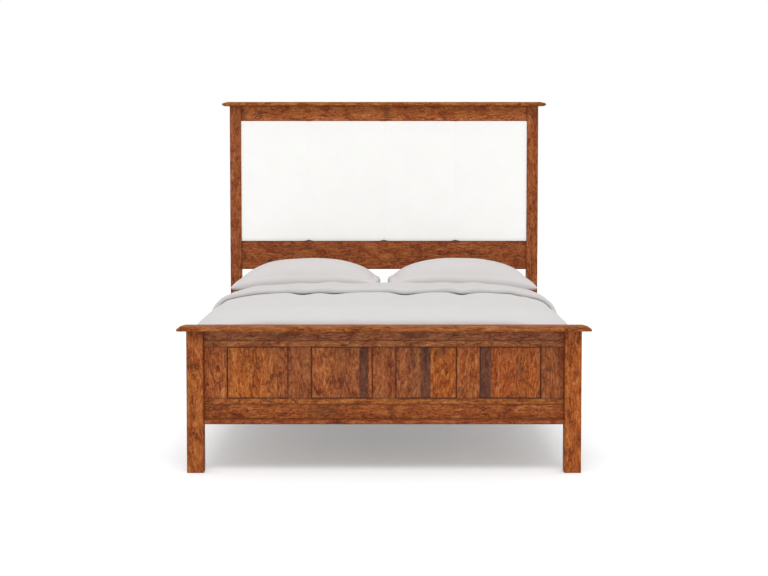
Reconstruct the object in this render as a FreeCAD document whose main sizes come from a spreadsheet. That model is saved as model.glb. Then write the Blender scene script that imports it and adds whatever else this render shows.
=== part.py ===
"""Queen-size panel bed with an upholstered headboard, made up with its bedding.

Millimetres, +Z up. The floor is Z = 0, the footboard faces -Y, the headboard stands at +Y, and the
origin lies on the floor under the middle of the bed. Left is -X.
"""
import FreeCAD
import Part
import Sketcher
import math
import os

# Driving dimensions. Every one is a real size that can be set by itself.
SIZES = {
    # the whole bed
    "under_clearance": 205.0,        # floor to the lowest rail
    # footboard
    "foot_post_width": 70.0,
    "foot_post_depth": 70.0,
    "foot_cap_seat": 598.5,          # height of the footboard cap's underside
    "foot_frame_recess": 35.0,       # frame face behind the posts' front faces
    "foot_frame_thickness": 24.0,
    "strip_thickness": 19.0,         # base strip, lying flat under the frame
    "strip_recess": 8.0,             # base strip's front edge behind the posts' front faces
    "bottom_rail_wide_board": 62.0,
    "bottom_rail_narrow_board": 24.0,
    "top_rail_wide_board": 43.5,
    "top_rail_narrow_board": 27.0,
    "stile_width": 97.0,
    "panel_recess": 7.0,             # panel face behind the frame's face
    "panel_thickness": 9.0,
    "groove_depth": 9.0,             # groove that holds panels and stub tenons
    # headboard
    "head_post_width": 60.0,
    "head_post_depth": 60.0,
    "head_cap_seat": 1614.0,         # height of the headboard cap's underside
    "head_frame_recess": 12.0,
    "head_frame_thickness": 24.0,
    "head_top_rail_height": 81.0,
    "head_lower_rail_bottom": 738.0,
    "head_lower_rail_height": 152.5,
    "stretcher_height": 85.0,        # hidden rail between the headboard posts at slat height
    "backing_recess": 8.0,           # plywood face behind the headboard rails' faces
    "backing_thickness": 9.0,
    "pad_thickness": 15.0,           # upholstered section, from the plywood to its face
    "pad_edge_radius": 9.0,
    "pad_corner_run": 27.0,          # fabric drawn in along the edge beside a seam
    "pad_corner_rise": 7.0,
    "left_seam": 404.0,              # left seam from the headboard's middle
    "right_seam": 384.0,
    # caps
    "cap_overhang": 37.5,
    "cap_thickness": 20.0,
    "cap_bevel_run": 27.0,
    "cap_bevel_rise": 9.0,
    "cap_nose_radius": 4.0,
    # joinery
    "tenon_length": 28.0,
    "tenon_thickness": 10.0,
    "tenon_shoulder": 8.0,
    "glue_gap": 0.1,
    "dowel_radius": 5.0,
    "dowel_length": 40.0,
    "dowel_in_cap": 12.0,
    "dowel_pitch": 32.0,
    "dowel_edge": 18.0,              # dowels from the post face that is clear of the tenons
    "post_arris": 2.0,               # rounding of the posts' edges
    "board_arris": 0.7,
    # base
    "side_rail_thickness": 28.0,
    "side_rail_height": 190.0,
    "side_rail_inset": 25.0,         # rail's outer face behind the posts' outer faces
    "ledger_thickness": 25.0,
    "ledger_height": 32.0,
    "ledger_end_gap": 12.0,
    "slat_top": 285.0,
    "slat_thickness": 19.0,
    "slat_width": 89.0,
    "slat_end_gap": 2.0,
    "slat_count": 10,
    "slat_first": 90.0,              # first slat's middle from the footboard post
    "beam_width": 40.0,
    "beam_height": 58.0,
    "hanger_metal": 2.5,
    "hanger_seat": 45.0,
    "hanger_flange": 22.0,
    # hooked fittings of the side rails
    "plate_metal": 3.0,
    "plate_width": 18.0,
    "plate_height": 130.0,
    "plate_above_rail": 30.0,        # lower end of the plates above the side rail's lower edge
    "hook_metal": 3.0,
    "hook_neck": 12.0,
    "hook_drop": 9.0,
    "hook_first": 24.0,              # lower hook above the plate's lower end
    "hook_pitch": 62.0,
    "slot_play": 1.0,
    "hook_slack": 0.2,
    # screws
    "screw_radius": 2.0,
    "screw_head_radius": 4.0,
    "screw_head_height": 2.4,
    "slat_screw_length": 38.0,
    "plate_screw_length": 17.0,
    "screw_gap": 0.1,
    # levelling bolts
    "bolt_radius": 5.0,
    "bolt_length": 48.0,             # stem above the head
    "bolt_head_radius": 16.0,
    "bolt_head_height": 7.0,
    "bolt_head_rounding": 1.5,
    "foot_proud": 1.5,               # head below the post when it is wound right in
    "bolt_head_play": 0.5,
    "bolt_running_gap": 0.05,
    "insert_radius": 8.0,
    "insert_length": 25.0,
    # bedding
    "mattress_width": 1524.0,
    "mattress_length": 2032.0,
    "mattress_height": 310.0,
    "mattress_rounding": 30.0,
    "mattress_side_gap": 10.5,       # to the side rails
    "mattress_foot_gap": 48.0,       # to the footboard posts, room for the bedding
    "mattress_head_gap": 3.0,
    "cloth_gap": 0.3,
    "duvet_flat_short": 222.0,       # nearly level top ends this far inside the mattress's side
    "duvet_loft": 76.0,              # duvet's middle above the mattress
    "duvet_crown": 6.0,
    "duvet_shoulder_out": 36.0,      # where it turns down, outside the mattress's side
    "duvet_shoulder_drop": 76.0,
    "duvet_hem_out": 21.5,           # hem outside the side rail
    "duvet_hem_height": 335.0,
    "duvet_foot_drop": 55.0,
    "fold_thickness": 24.0,
    "fold_length": 450.0,
    "fold_hem_rise": 70.0,           # fold's side edge above the duvet's hem
    "pillow_length": 784.0,
    "pillow_depth": 480.0,
    "pillow_height": 217.0,
    "pillow_middle_gap": 26.0,       # between the two pillows' tips
    "pillow_outer_seam": 55.0,       # end seam above the mattress, outer end
    "pillow_inner_seam": 98.0,
    "pillow_head_gap": 6.0,
    "pillow_edge": 7.0,              # thickness of a pillow's seamed edge
    "pillow_draw_in": 12.0,
}

doc = FreeCAD.newDocument("panel_bed")
sheet = doc.addObject("Spreadsheet::Sheet", "size")
for row, (alias, value) in enumerate(SIZES.items(), start=1):
    sheet.set(f"A{row}", alias)
    sheet.set(f"B{row}", str(value))
    sheet.setAlias(f"B{row}", alias)
doc.recompute()

# Places and sizes that follow from the driving dimensions.
at = doc.addObject("App::VarSet", "at")


def derive(name, text):
    """A named value worked out from the sheet and from the values above it."""
    at.addProperty("App::PropertyFloat", name, "Places")
    at.setExpression(name, text)


derive("bed_width",
       "size.mattress_width + 2 * (size.mattress_side_gap + size.side_rail_thickness"
       " + size.side_rail_inset)")
derive("rail_length", "size.mattress_foot_gap + size.mattress_length + size.mattress_head_gap")
derive("length",
       "at.rail_length + size.foot_post_depth + size.head_post_depth + 2 * size.cap_overhang")
derive("side", "at.bed_width / 2")
derive("foot_front", "size.cap_overhang - at.length / 2")
derive("foot_back", "at.foot_front + size.foot_post_depth")
derive("head_front", "at.foot_back + at.rail_length")
derive("head_back", "at.head_front + size.head_post_depth")
derive("foot_inner", "at.side - size.foot_post_width")
derive("head_inner", "at.side - size.head_post_width")
derive("foot_frame_front", "at.foot_front + size.foot_frame_recess")
derive("foot_frame_back", "at.foot_frame_front + size.foot_frame_thickness")
derive("head_frame_front", "at.head_front + size.head_frame_recess")
derive("head_frame_back", "at.head_frame_front + size.head_frame_thickness")
derive("frame_bottom", "size.under_clearance + size.strip_thickness")
derive("panel_bottom", "at.frame_bottom + size.bottom_rail_wide_board + size.bottom_rail_narrow_board")
derive("panel_top", "size.foot_cap_seat - size.top_rail_wide_board - size.top_rail_narrow_board")
derive("panel_opening", "(2 * at.foot_inner - 5 * size.stile_width) / 4")
derive("pad_bottom", "size.head_lower_rail_bottom + size.head_lower_rail_height")
derive("pad_top", "size.head_cap_seat - size.head_top_rail_height")
derive("rail_outer", "at.side - size.side_rail_inset")
derive("rail_inner", "at.rail_outer - size.side_rail_thickness")
derive("rail_middle", "at.rail_outer - size.side_rail_thickness / 2")
derive("rail_top", "size.under_clearance + size.side_rail_height")
derive("slat_bottom", "size.slat_top - size.slat_thickness")
derive("slat_pitch", "(at.rail_length - 2 * size.slat_first) / (size.slat_count - 1)")
derive("ledger_inner", "at.rail_inner - size.ledger_thickness")
derive("ledger_middle", "at.rail_inner - size.ledger_thickness / 2")
derive("beam_bottom", "at.slat_bottom - size.beam_height")
derive("beam_front", "at.foot_frame_back + size.hanger_metal")
derive("beam_back", "at.head_frame_front - size.hanger_metal")
derive("hanger_half", "size.beam_width / 2 + size.glue_gap + size.hanger_metal")
derive("hanger_screw_x", "at.hanger_half + size.hanger_flange / 2")
derive("hanger_screw_z", "at.frame_bottom + size.hanger_flange")
derive("plate_bottom", "size.under_clearance + size.plate_above_rail")
derive("mattress_foot", "at.head_front - size.mattress_head_gap - size.mattress_length")
derive("mattress_top", "size.slat_top + size.mattress_height")
derive("tenon_inset", "(size.foot_frame_thickness - size.tenon_thickness) / 2")
derive("head_tenon_inset", "(size.head_frame_thickness - size.tenon_thickness) / 2")
derive("duvet_flat_half", "size.mattress_width / 2 - size.duvet_flat_short")
derive("duvet_shoulder_half", "size.mattress_width / 2 + size.duvet_shoulder_out")
derive("duvet_hem_half", "at.rail_outer + size.duvet_hem_out")
derive("pillow_centre", "(size.pillow_length + size.pillow_middle_gap) / 2")
derive("bolt_hole", "size.bolt_length + size.bolt_head_height + 2 * size.bolt_head_play")
doc.recompute()

FLOOR = "0"


def plane_of(piece, role):
    """One of the piece's own origin planes."""
    for feature in piece.Origin.OriginFeatures:
        if feature.Role == role:
            return feature
    raise ValueError(f"{piece.Label} has no {role}")


def new_body(label, corner):
    """An empty body whose own zero point stands at the given corner."""
    piece = doc.addObject("PartDesign::Body", label)
    piece.Label = label
    for axis, text in zip("xyz", corner):
        piece.setExpression(f"Placement.Base.{axis}", text)
    return piece


def outline(piece, name, points, role="XY_Plane"):
    """A closed sketch of straight lines, every corner dimensioned from the piece's zero point."""
    sketch = piece.newObject("Sketcher::SketchObject", name)
    sketch.AttachmentSupport = [(plane_of(piece, role), "")]
    sketch.MapMode = "FlatFace"
    count = len(points)
    guess = []
    for index in range(count):
        turn = 2 * math.pi * (index + 0.5) / count
        guess.append(FreeCAD.Vector(math.cos(turn), math.sin(turn), 0) * 50)
    for index in range(count):
        sketch.addGeometry(Part.LineSegment(guess[index], guess[(index + 1) % count]), False)
    for index in range(count):
        sketch.addConstraint(Sketcher.Constraint("Coincident", index, 2, (index + 1) % count, 1))
    for index, point in enumerate(points):
        for kind, axis, text in zip(("DistanceX", "DistanceY"), (-2, -1), point):
            if text == "0":
                sketch.addConstraint(Sketcher.Constraint("PointOnObject", index, 1, axis))
                continue
            start = guess[index].x if kind == "DistanceX" else guess[index].y
            number = sketch.addConstraint(Sketcher.Constraint(kind, -1, 1, index, 1, start))
            sketch.renameConstraint(number, f"{kind}{index}")
            sketch.setExpression(f"Constraints.{kind}{index}", text)
    return sketch


def pad(piece, sketch, height, name="Board"):
    """The sketch raised to a height."""
    feature = piece.newObject("PartDesign::Pad", name)
    feature.Profile = sketch
    feature.setExpression("Length", height)
    sketch.Visibility = False
    return feature


def board(label, corner, length, width, height):
    """A plain board: length along X, width along Y, height along Z."""
    piece = new_body(label, corner)
    points = [("0", "0"), (length, "0"), (length, width), ("0", width)]
    pad(piece, outline(piece, "Outline", points), height)
    return piece


def block(piece, kind, name, corner, length, width, height):
    """Adds ("Additive") or takes away ("Subtractive") a box in the piece's own frame."""
    feature = piece.newObject(f"PartDesign::{kind}Box", name)
    feature.AttachmentSupport = [(plane_of(piece, "XY_Plane"), "")]
    feature.MapMode = "FlatFace"
    for axis, text in zip("xyz", corner):
        feature.setExpression(f"AttachmentOffset.Base.{axis}", text)
    feature.setExpression("Length", length)
    feature.setExpression("Width", width)
    feature.setExpression("Height", height)
    return feature


def drill(piece, name, place, radius, depth, along="z"):
    """A round hole in the piece's own frame, from a place along +Z or +Y."""
    feature = piece.newObject("PartDesign::SubtractiveCylinder", name)
    feature.AttachmentSupport = [(plane_of(piece, "XY_Plane"), "")]
    feature.MapMode = "FlatFace"
    if along == "y":
        turned = FreeCAD.Rotation(FreeCAD.Vector(1, 0, 0), -90)
        feature.AttachmentOffset = FreeCAD.Placement(FreeCAD.Vector(), turned)
    for axis, text in zip("xyz", place):
        feature.setExpression(f"AttachmentOffset.Base.{axis}", text)
    feature.setExpression("Radius", radius)
    feature.setExpression("Height", depth)
    return feature


def edge_names(shape, wanted):
    """The names of the edges whose two ends both pass the test."""
    names = []
    for index, edge in enumerate(shape.Edges, start=1):
        ends = [vertex.Point for vertex in edge.Vertexes]
        if len(ends) == 2 and wanted(ends[0], ends[1]):
            names.append(f"Edge{index}")
    return names


def round_edges(piece, radius, wanted, name="Rounding"):
    """Rounds the chosen edges of the piece as it stands."""
    doc.recompute()
    base = piece.Tip
    feature = piece.newObject("PartDesign::Fillet", name)
    feature.Base = (base, edge_names(base.Shape, wanted))
    feature.setExpression("Radius", radius)
    return feature


def same(first, second):
    return abs(first - second) < 1e-4


def upright(first, second):
    return same(first.x, second.x) and same(first.y, second.y)


def along_x(first, second):
    return same(first.y, second.y) and same(first.z, second.z)


def part_box(name, corner, length, width, height):
    """A loose box for a group of small pieces."""
    box = doc.addObject("Part::Box", name)
    for axis, text in zip("xyz", corner):
        box.setExpression(f"Placement.Base.{axis}", text)
    box.setExpression("Length", length)
    box.setExpression("Width", width)
    box.setExpression("Height", height)
    return box


def part_cylinder(name, place, radius, height):
    """A loose upright cylinder."""
    cylinder = doc.addObject("Part::Cylinder", name)
    for axis, text in zip("xyz", place):
        cylinder.setExpression(f"Placement.Base.{axis}", text)
    cylinder.setExpression("Radius", radius)
    cylinder.setExpression("Height", height)
    return cylinder


def screw(name, head, pointing, length):
    """A countersunk screw: head is the middle of its flat top, pointing is -z, +y or -y."""
    turns = {
        "-z": FreeCAD.Rotation(FreeCAD.Vector(1, 0, 0), 180),
        "+y": FreeCAD.Rotation(FreeCAD.Vector(1, 0, 0), -90),
        "-y": FreeCAD.Rotation(FreeCAD.Vector(1, 0, 0), 90),
    }
    cone = doc.addObject("Part::Cone", f"{name}_head")
    shank = doc.addObject("Part::Cylinder", f"{name}_shank")
    for solid in (cone, shank):
        solid.Placement = FreeCAD.Placement(FreeCAD.Vector(), turns[pointing])
        for axis, text in zip("xyz", head):
            solid.setExpression(f"Placement.Base.{axis}", text)
    cone.setExpression("Radius1", "size.screw_head_radius")
    cone.setExpression("Radius2", "size.screw_radius")
    cone.setExpression("Height", "size.screw_head_height")
    shank.setExpression("Radius", "size.screw_radius")
    shank.setExpression("Height", length)
    whole = doc.addObject("Part::Fuse", name)
    whole.Base = cone
    whole.Tool = shank
    return whole


def group(label, members):
    """Separate identical pieces that share one node."""
    bundle = doc.addObject("Part::Compound", label)
    bundle.Label = label
    bundle.Links = members
    return bundle


nodes = []

# Which way each side and each end looks: -1 is left or foot, +1 is right or head.
SIDES = {"left": -1, "right": 1}
ENDS = {"foot": -1, "head": 1}


def from_outside(side, post_width, offset, width):
    """Own X of something that lies an offset inside the post's outer face, on either side."""
    if side < 0:
        return offset
    return f"{post_width} - ({offset}) - ({width})"


# ---------------------------------------------------------------- caps
def cap(label, seat, front, depth):
    """The bevelled board on top of the posts, overhanging them all round."""
    length = "at.bed_width + 2 * size.cap_overhang"
    width = f"{depth} + 2 * size.cap_overhang"
    corner = ("-at.side - size.cap_overhang", f"{front} - size.cap_overhang", seat)
    piece = board(label, corner, length, width, "size.cap_thickness")
    doc.recompute()
    top = sheet.get("cap_thickness")
    base = piece.Tip
    bevel = piece.newObject("PartDesign::Chamfer", "Bevel")
    level = edge_names(base.Shape, lambda a, b: same(a.z, top) and same(b.z, top))
    bevel.Base = (base, level)
    bevel.ChamferType = "Two distances"
    bevel.setExpression("Size", "size.cap_bevel_rise")
    bevel.setExpression("Size2", "size.cap_bevel_run")
    doc.recompute()
    flat_area = max(face.Area for face in bevel.Shape.Faces if same(face.CenterOfMass.z, top))
    run = sheet.get("cap_bevel_run")
    box = base.Shape.BoundBox
    wanted_area = (box.XLength - 2 * run) * (box.YLength - 2 * run)
    if abs(flat_area - wanted_area) > 1:
        bevel.FlipDirection = True
    nose = top - sheet.get("cap_bevel_rise")
    round_edges(piece, "size.cap_nose_radius",
                lambda a, b: same(a.z, b.z) and (same(a.z, nose) or same(a.z, 0)), "Nose")
    for side_name, side in SIDES.items():
        for index in (0, 1):
            spot = post_dowel(side, index, seat)
            hole = (f"{spot[0]} - ({corner[0]})", f"{spot[1]} - ({corner[1]})", "0")
            drill(piece, f"Dowel_hole_{side_name}_{index}", hole,
                  "size.dowel_radius + size.glue_gap", "size.dowel_in_cap + size.glue_gap")
    nodes.append(piece)


def post_dowel(side, index, seat):
    """X and Y of a dowel between a post and its cap."""
    is_foot = seat == "size.foot_cap_seat"
    width = "size.foot_post_width" if is_foot else "size.head_post_width"
    y = "at.foot_front + size.dowel_edge" if is_foot else "at.head_back - size.dowel_edge"
    x = f"{side} * (at.side - {width} / 2) + {2 * index - 1} * size.dowel_pitch / 2"
    return x, y


cap("footboard_cap", "size.foot_cap_seat", "at.foot_front", "size.foot_post_depth")
cap("headboard_cap", "size.head_cap_seat", "at.head_front", "size.head_post_depth")

dowels = []
for seat in ("size.foot_cap_seat", "size.head_cap_seat"):
    for side in SIDES.values():
        for index in (0, 1):
            x, y = post_dowel(side, index, seat)
            z = f"{seat} + size.dowel_in_cap - size.dowel_length"
            dowels.append(part_cylinder(f"dowel_{len(dowels)}", (x, y, z),
                                        "size.dowel_radius", "size.dowel_length"))
nodes.append(group("cap_dowels", dowels))


# ---------------------------------------------------------------- posts
def post(label, side, end, rails):
    """A square post: mortises for the rails, a recess for the slotted plate, holes top and bottom.

    rails lists (name, bottom, height) of each tenon that goes into the post's inner face.
    """
    kind = "foot" if end < 0 else "head"
    width = f"size.{kind}_post_width"
    depth = f"size.{kind}_post_depth"
    seat = f"size.{kind}_cap_seat"
    outer = f"{side} * at.side" if side < 0 else f"at.side - {width}"
    corner = (outer, f"at.{kind}_front", "size.foot_proud")
    piece = board(label, corner, width, depth, f"{seat} - size.foot_proud")
    round_edges(piece, "size.post_arris", upright)

    frame_tenon = "at.tenon_inset" if end < 0 else "at.head_tenon_inset"
    long_tenon = "size.tenon_length + 1"
    for name, bottom, height in rails:
        mortise_x = from_outside(side, width, f"{width} - ({long_tenon})", long_tenon)
        block(piece, "Subtractive", f"Mortise_{name}",
              (mortise_x, f"size.{kind}_frame_recess + {frame_tenon} - size.glue_gap",
               f"{bottom} - size.glue_gap - size.foot_proud"),
              long_tenon, "size.tenon_thickness + 2 * size.glue_gap",
              f"{height} + 2 * size.glue_gap")
    if end > 0:
        block(piece, "Subtractive", "Plywood_groove",
              (from_outside(side, width, f"{width} - size.groove_depth", "size.groove_depth"),
               "size.head_frame_recess + size.backing_recess - size.glue_gap",
               "at.pad_bottom - size.groove_depth - size.foot_proud"),
              "size.groove_depth", "size.backing_thickness + 2 * size.glue_gap",
              "at.pad_top - at.pad_bottom + 2 * size.groove_depth")

    # recess and hook pockets in the face that the side rail meets
    plate_x = from_outside(side, width,
                           "at.side - at.rail_middle - size.plate_width / 2 - size.glue_gap",
                           "size.plate_width + 2 * size.glue_gap")
    face_y = f"{depth} - size.plate_metal - size.glue_gap" if end < 0 else "0"
    block(piece, "Subtractive", "Plate_recess",
          (plate_x, face_y, "at.plate_bottom - size.glue_gap - size.foot_proud"),
          "size.plate_width + 2 * size.glue_gap", "size.plate_metal + size.glue_gap",
          "size.plate_height + 2 * size.glue_gap")
    pocket_wide = "size.hook_metal + 4 * size.slot_play"
    pocket_deep = "size.plate_metal + size.hook_metal + 4 * size.slot_play"
    pocket_x = from_outside(side, width,
                            f"at.side - at.rail_middle - ({pocket_wide}) / 2", pocket_wide)
    pocket_y = f"{depth} - ({pocket_deep})" if end < 0 else "0"
    for index in (0, 1):
        pocket_z = f"at.plate_bottom + size.hook_first + {index} * size.hook_pitch"
        block(piece, "Subtractive", f"Hook_pocket_{index}",
              (pocket_x, pocket_y, f"{pocket_z} - size.hook_drop - size.slot_play - size.foot_proud"),
              pocket_wide, pocket_deep, "2 * size.hook_neck + size.hook_drop + 2 * size.slot_play")
    screw_x = from_outside(side, width, "at.side - at.rail_middle", "0")
    hole_deep = "size.plate_screw_length + size.screw_gap"
    screw_y = f"{depth} - ({hole_deep})" if end < 0 else "0"
    for index, z in enumerate(plate_screw_heights):
        drill(piece, f"Plate_screw_hole_{index}", (screw_x, screw_y, f"{z} - size.foot_proud"),
              "size.screw_radius + size.screw_gap", hole_deep, along="y")

    # levelling bolt's pocket, insert hole and stem hole from below
    middle = (f"{width} / 2", f"{depth} / 2")
    pocket = "size.bolt_head_height - size.foot_proud + size.bolt_head_play"
    drill(piece, "Bolt_pocket", (middle[0], middle[1], "0"),
          "size.bolt_head_radius + 2 * size.bolt_head_play", pocket)
    drill(piece, "Insert_hole", (middle[0], middle[1], "0"),
          "size.insert_radius + size.glue_gap", f"{pocket} + size.insert_length + size.glue_gap")
    drill(piece, "Stem_hole", (middle[0], middle[1], "0"),
          "size.bolt_radius + size.glue_gap + size.bolt_head_play", "at.bolt_hole")

    for index in (0, 1):
        x, y = post_dowel(side, index, seat)
        drill(piece, f"Dowel_hole_{index}",
              (f"{x} - ({corner[0]})", f"{y} - ({corner[1]})",
               f"{seat} - size.foot_proud - size.dowel_length + size.dowel_in_cap - size.glue_gap"),
              "size.dowel_radius + size.glue_gap", "size.dowel_length")
    nodes.append(piece)


plate_screw_heights = ("at.plate_bottom + size.screw_head_radius + size.hook_metal",
                       "at.plate_bottom + size.plate_height - size.screw_head_radius - size.hook_metal")


def tenon_span(bottom, height):
    """Bottom and height of a tenon that leaves a shoulder above and below."""
    return f"{bottom} + size.tenon_shoulder", f"{height} - 2 * size.tenon_shoulder"


foot_rails = [
    ("bottom_rail", *tenon_span("at.frame_bottom", "size.bottom_rail_wide_board")),
    ("top_rail", *tenon_span("size.foot_cap_seat - size.top_rail_wide_board",
                             "size.top_rail_wide_board")),
]
head_rails = [
    ("stretcher", *tenon_span("size.under_clearance", "size.stretcher_height")),
    ("lower_rail", *tenon_span("size.head_lower_rail_bottom", "size.head_lower_rail_height")),
    ("top_rail", *tenon_span("size.head_cap_seat - size.head_top_rail_height",
                             "size.head_top_rail_height")),
]
for side_name, side in SIDES.items():
    post(f"footboard_post_{side_name}", side, -1, foot_rails)
    post(f"headboard_post_{side_name}", side, 1, head_rails)


# ---------------------------------------------------------------- rails between the posts
def cross_rail(label, end, bottom, height, tenoned, grooved=None, carries_beam=False):
    """A rail from post to post: tenons, a groove for what it holds, holes for the beam's hanger."""
    kind = "foot" if end < 0 else "head"
    inner = f"at.{kind}_inner"
    thickness = f"size.{kind}_frame_thickness"
    tenon_y = "at.tenon_inset" if end < 0 else "at.head_tenon_inset"
    corner = (f"-{inner}", f"at.{kind}_frame_front", bottom)
    piece = board(label, corner, f"2 * {inner}", thickness, height)
    round_edges(piece, "size.board_arris", along_x)
    if tenoned:
        tenon_bottom, tenon_height = tenon_span("0", height)
        for name, x in (("left", "-size.tenon_length"), ("right", f"2 * {inner}")):
            block(piece, "Additive", f"Tenon_{name}", (x, tenon_y, tenon_bottom),
                  "size.tenon_length", "size.tenon_thickness", tenon_height)
    if grooved:
        recess = "size.panel_recess" if end < 0 else "size.backing_recess"
        held = "size.panel_thickness" if end < 0 else "size.backing_thickness"
        groove_z = "0" if grooved == "below" else f"{height} - size.groove_depth"
        block(piece, "Subtractive", "Groove", ("0", f"{recess} - size.glue_gap", groove_z),
              f"2 * {inner}", f"{held} + 2 * size.glue_gap", "size.groove_depth")
    if carries_beam:
        hole_deep = "size.plate_screw_length - size.hanger_metal + size.screw_gap"
        hole_y = f"{thickness} - ({hole_deep})" if end < 0 else "0"
        for side_name, side in SIDES.items():
            drill(piece, f"Hanger_screw_hole_{side_name}",
                  (f"{inner} + {side} * at.hanger_screw_x", hole_y, f"at.hanger_screw_z - ({bottom})"),
                  "size.screw_radius + size.screw_gap", hole_deep, along="y")
    nodes.append(piece)


cross_rail("footboard_bottom_rail_wide_board", -1, "at.frame_bottom", "size.bottom_rail_wide_board",
           True, carries_beam=True)
cross_rail("footboard_bottom_rail_narrow_board", -1, "at.frame_bottom + size.bottom_rail_wide_board",
           "size.bottom_rail_narrow_board", False, "above")
cross_rail("footboard_top_rail_narrow_board", -1, "at.panel_top", "size.top_rail_narrow_board",
           False, "below")
cross_rail("footboard_top_rail_wide_board", -1, "at.panel_top + size.top_rail_narrow_board",
           "size.top_rail_wide_board", True)
cross_rail("headboard_stretcher", 1, "size.under_clearance", "size.stretcher_height", True,
           carries_beam=True)
cross_rail("headboard_lower_rail", 1, "size.head_lower_rail_bottom", "size.head_lower_rail_height",
           True, "above")
cross_rail("headboard_top_rail", 1, "at.pad_top", "size.head_top_rail_height", True, "below")

strip = board("footboard_base_strip",
              ("-at.foot_inner", "at.foot_front + size.strip_recess", "size.under_clearance"),
              "2 * at.foot_inner",
              "size.foot_frame_recess + size.foot_frame_thickness - size.strip_recess",
              "size.strip_thickness")
round_edges(strip, "2 * size.board_arris", lambda a, b: along_x(a, b) and same(a.y, 0))
nodes.append(strip)


# ---------------------------------------------------------------- footboard stiles and panels
def stile(label, index, grooves):
    """An upright between the rails, with stub tenons in their grooves."""
    left = f"{index} * (size.stile_width + at.panel_opening) - at.foot_inner"
    height = "at.panel_top - at.panel_bottom"
    piece = board(label, (left, "at.foot_frame_front", "at.panel_bottom"),
                  "size.stile_width", "size.foot_frame_thickness", height)
    round_edges(piece, "size.board_arris", upright)
    stub = "size.groove_depth - 10 * size.glue_gap"
    for name, z in (("below", f"-({stub})"), ("above", height)):
        block(piece, "Additive", f"Stub_{name}", ("size.groove_depth", "size.panel_recess", z),
              "size.stile_width - 2 * size.groove_depth", "size.panel_thickness", stub)
    for name in grooves:
        x = "0" if name == "left" else "size.stile_width - size.groove_depth"
        block(piece, "Subtractive", f"Groove_{name}", (x, "size.panel_recess - size.glue_gap", "0"),
              "size.groove_depth", "size.panel_thickness + 2 * size.glue_gap", height)
    nodes.append(piece)


stile("footboard_end_stile_left", 0, ["right"])
stile("footboard_middle_stile_1", 1, ["left", "right"])
stile("footboard_middle_stile_2", 2, ["left", "right"])
stile("footboard_middle_stile_3", 3, ["left", "right"])
stile("footboard_end_stile_right", 4, ["left"])

PANEL_COUNT = 4
panel_tongue = "(size.groove_depth - 10 * size.glue_gap)"
for index in range(PANEL_COUNT):
    left = f"{index + 1} * size.stile_width + {index} * at.panel_opening - at.foot_inner"
    panel = board(f"footboard_panel_{index + 1}",
                  (f"{left} - {panel_tongue}", "at.foot_frame_front + size.panel_recess",
                   f"at.panel_bottom - {panel_tongue}"),
                  f"at.panel_opening + 2 * {panel_tongue}", "size.panel_thickness",
                  f"at.panel_top - at.panel_bottom + 2 * {panel_tongue}")
    nodes.append(panel)


# ---------------------------------------------------------------- upholstered panel
backing = board("headboard_backing",
                (f"-at.head_inner - {panel_tongue}", "at.head_frame_front + size.backing_recess",
                 f"at.pad_bottom - {panel_tongue}"),
                f"2 * (at.head_inner + {panel_tongue})", "size.backing_thickness",
                f"at.pad_top - at.pad_bottom + 2 * {panel_tongue}")
nodes.append(backing)


def upholstered_section(label, left, right, left_seamed, right_seamed):
    """A padded section on the plywood: drawn-in corners beside a seam, a rounded face edge."""
    gap = "size.cloth_gap"
    height = f"(at.pad_top - at.pad_bottom - 2 * {gap})"
    width = f"({right} - ({left}) - 2 * {gap})"
    corner = (f"{left} + {gap}", f"at.head_frame_front + size.backing_recess - {gap}",
              f"at.pad_bottom + {gap}")
    piece = new_body(label, corner)
    run = "size.pad_corner_run"
    rise = "size.pad_corner_rise"
    low_left = [("0", rise), (run, "0")] if left_seamed else [("0", "0")]
    high_left = [(run, height), ("0", f"{height} - {rise}")] if left_seamed else [("0", height)]
    low_right = [(width, "0")]
    high_right = [(width, height)]
    if right_seamed:
        low_right = [(f"{width} - {run}", "0"), (width, rise)]
        high_right = [(width, f"{height} - {rise}"), (f"{width} - {run}", height)]
    points = low_left + low_right + high_right + high_left
    pad(piece, outline(piece, "Outline", points, "XZ_Plane"), "size.pad_thickness", "Padding")
    doc.recompute()
    face = piece.Tip.Shape.BoundBox.YMin
    round_edges(piece, "size.pad_edge_radius", lambda a, b: same(a.y, face) and same(b.y, face))
    nodes.append(piece)


seams = ["-at.head_inner", "-size.left_seam", "0", "size.right_seam", "at.head_inner"]
SECTION_COUNT = 4
for index in range(SECTION_COUNT):
    upholstered_section(f"headboard_upholstery_{index + 1}", seams[index], seams[index + 1],
                        index > 0, index < SECTION_COUNT - 1)


# ---------------------------------------------------------------- side rails, ledgers and slats
slat_screw_x = "at.ledger_middle"


def slat_place(index):
    """Y of a slat's middle."""
    return f"at.foot_back + size.slat_first + {index} * at.slat_pitch"


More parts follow.
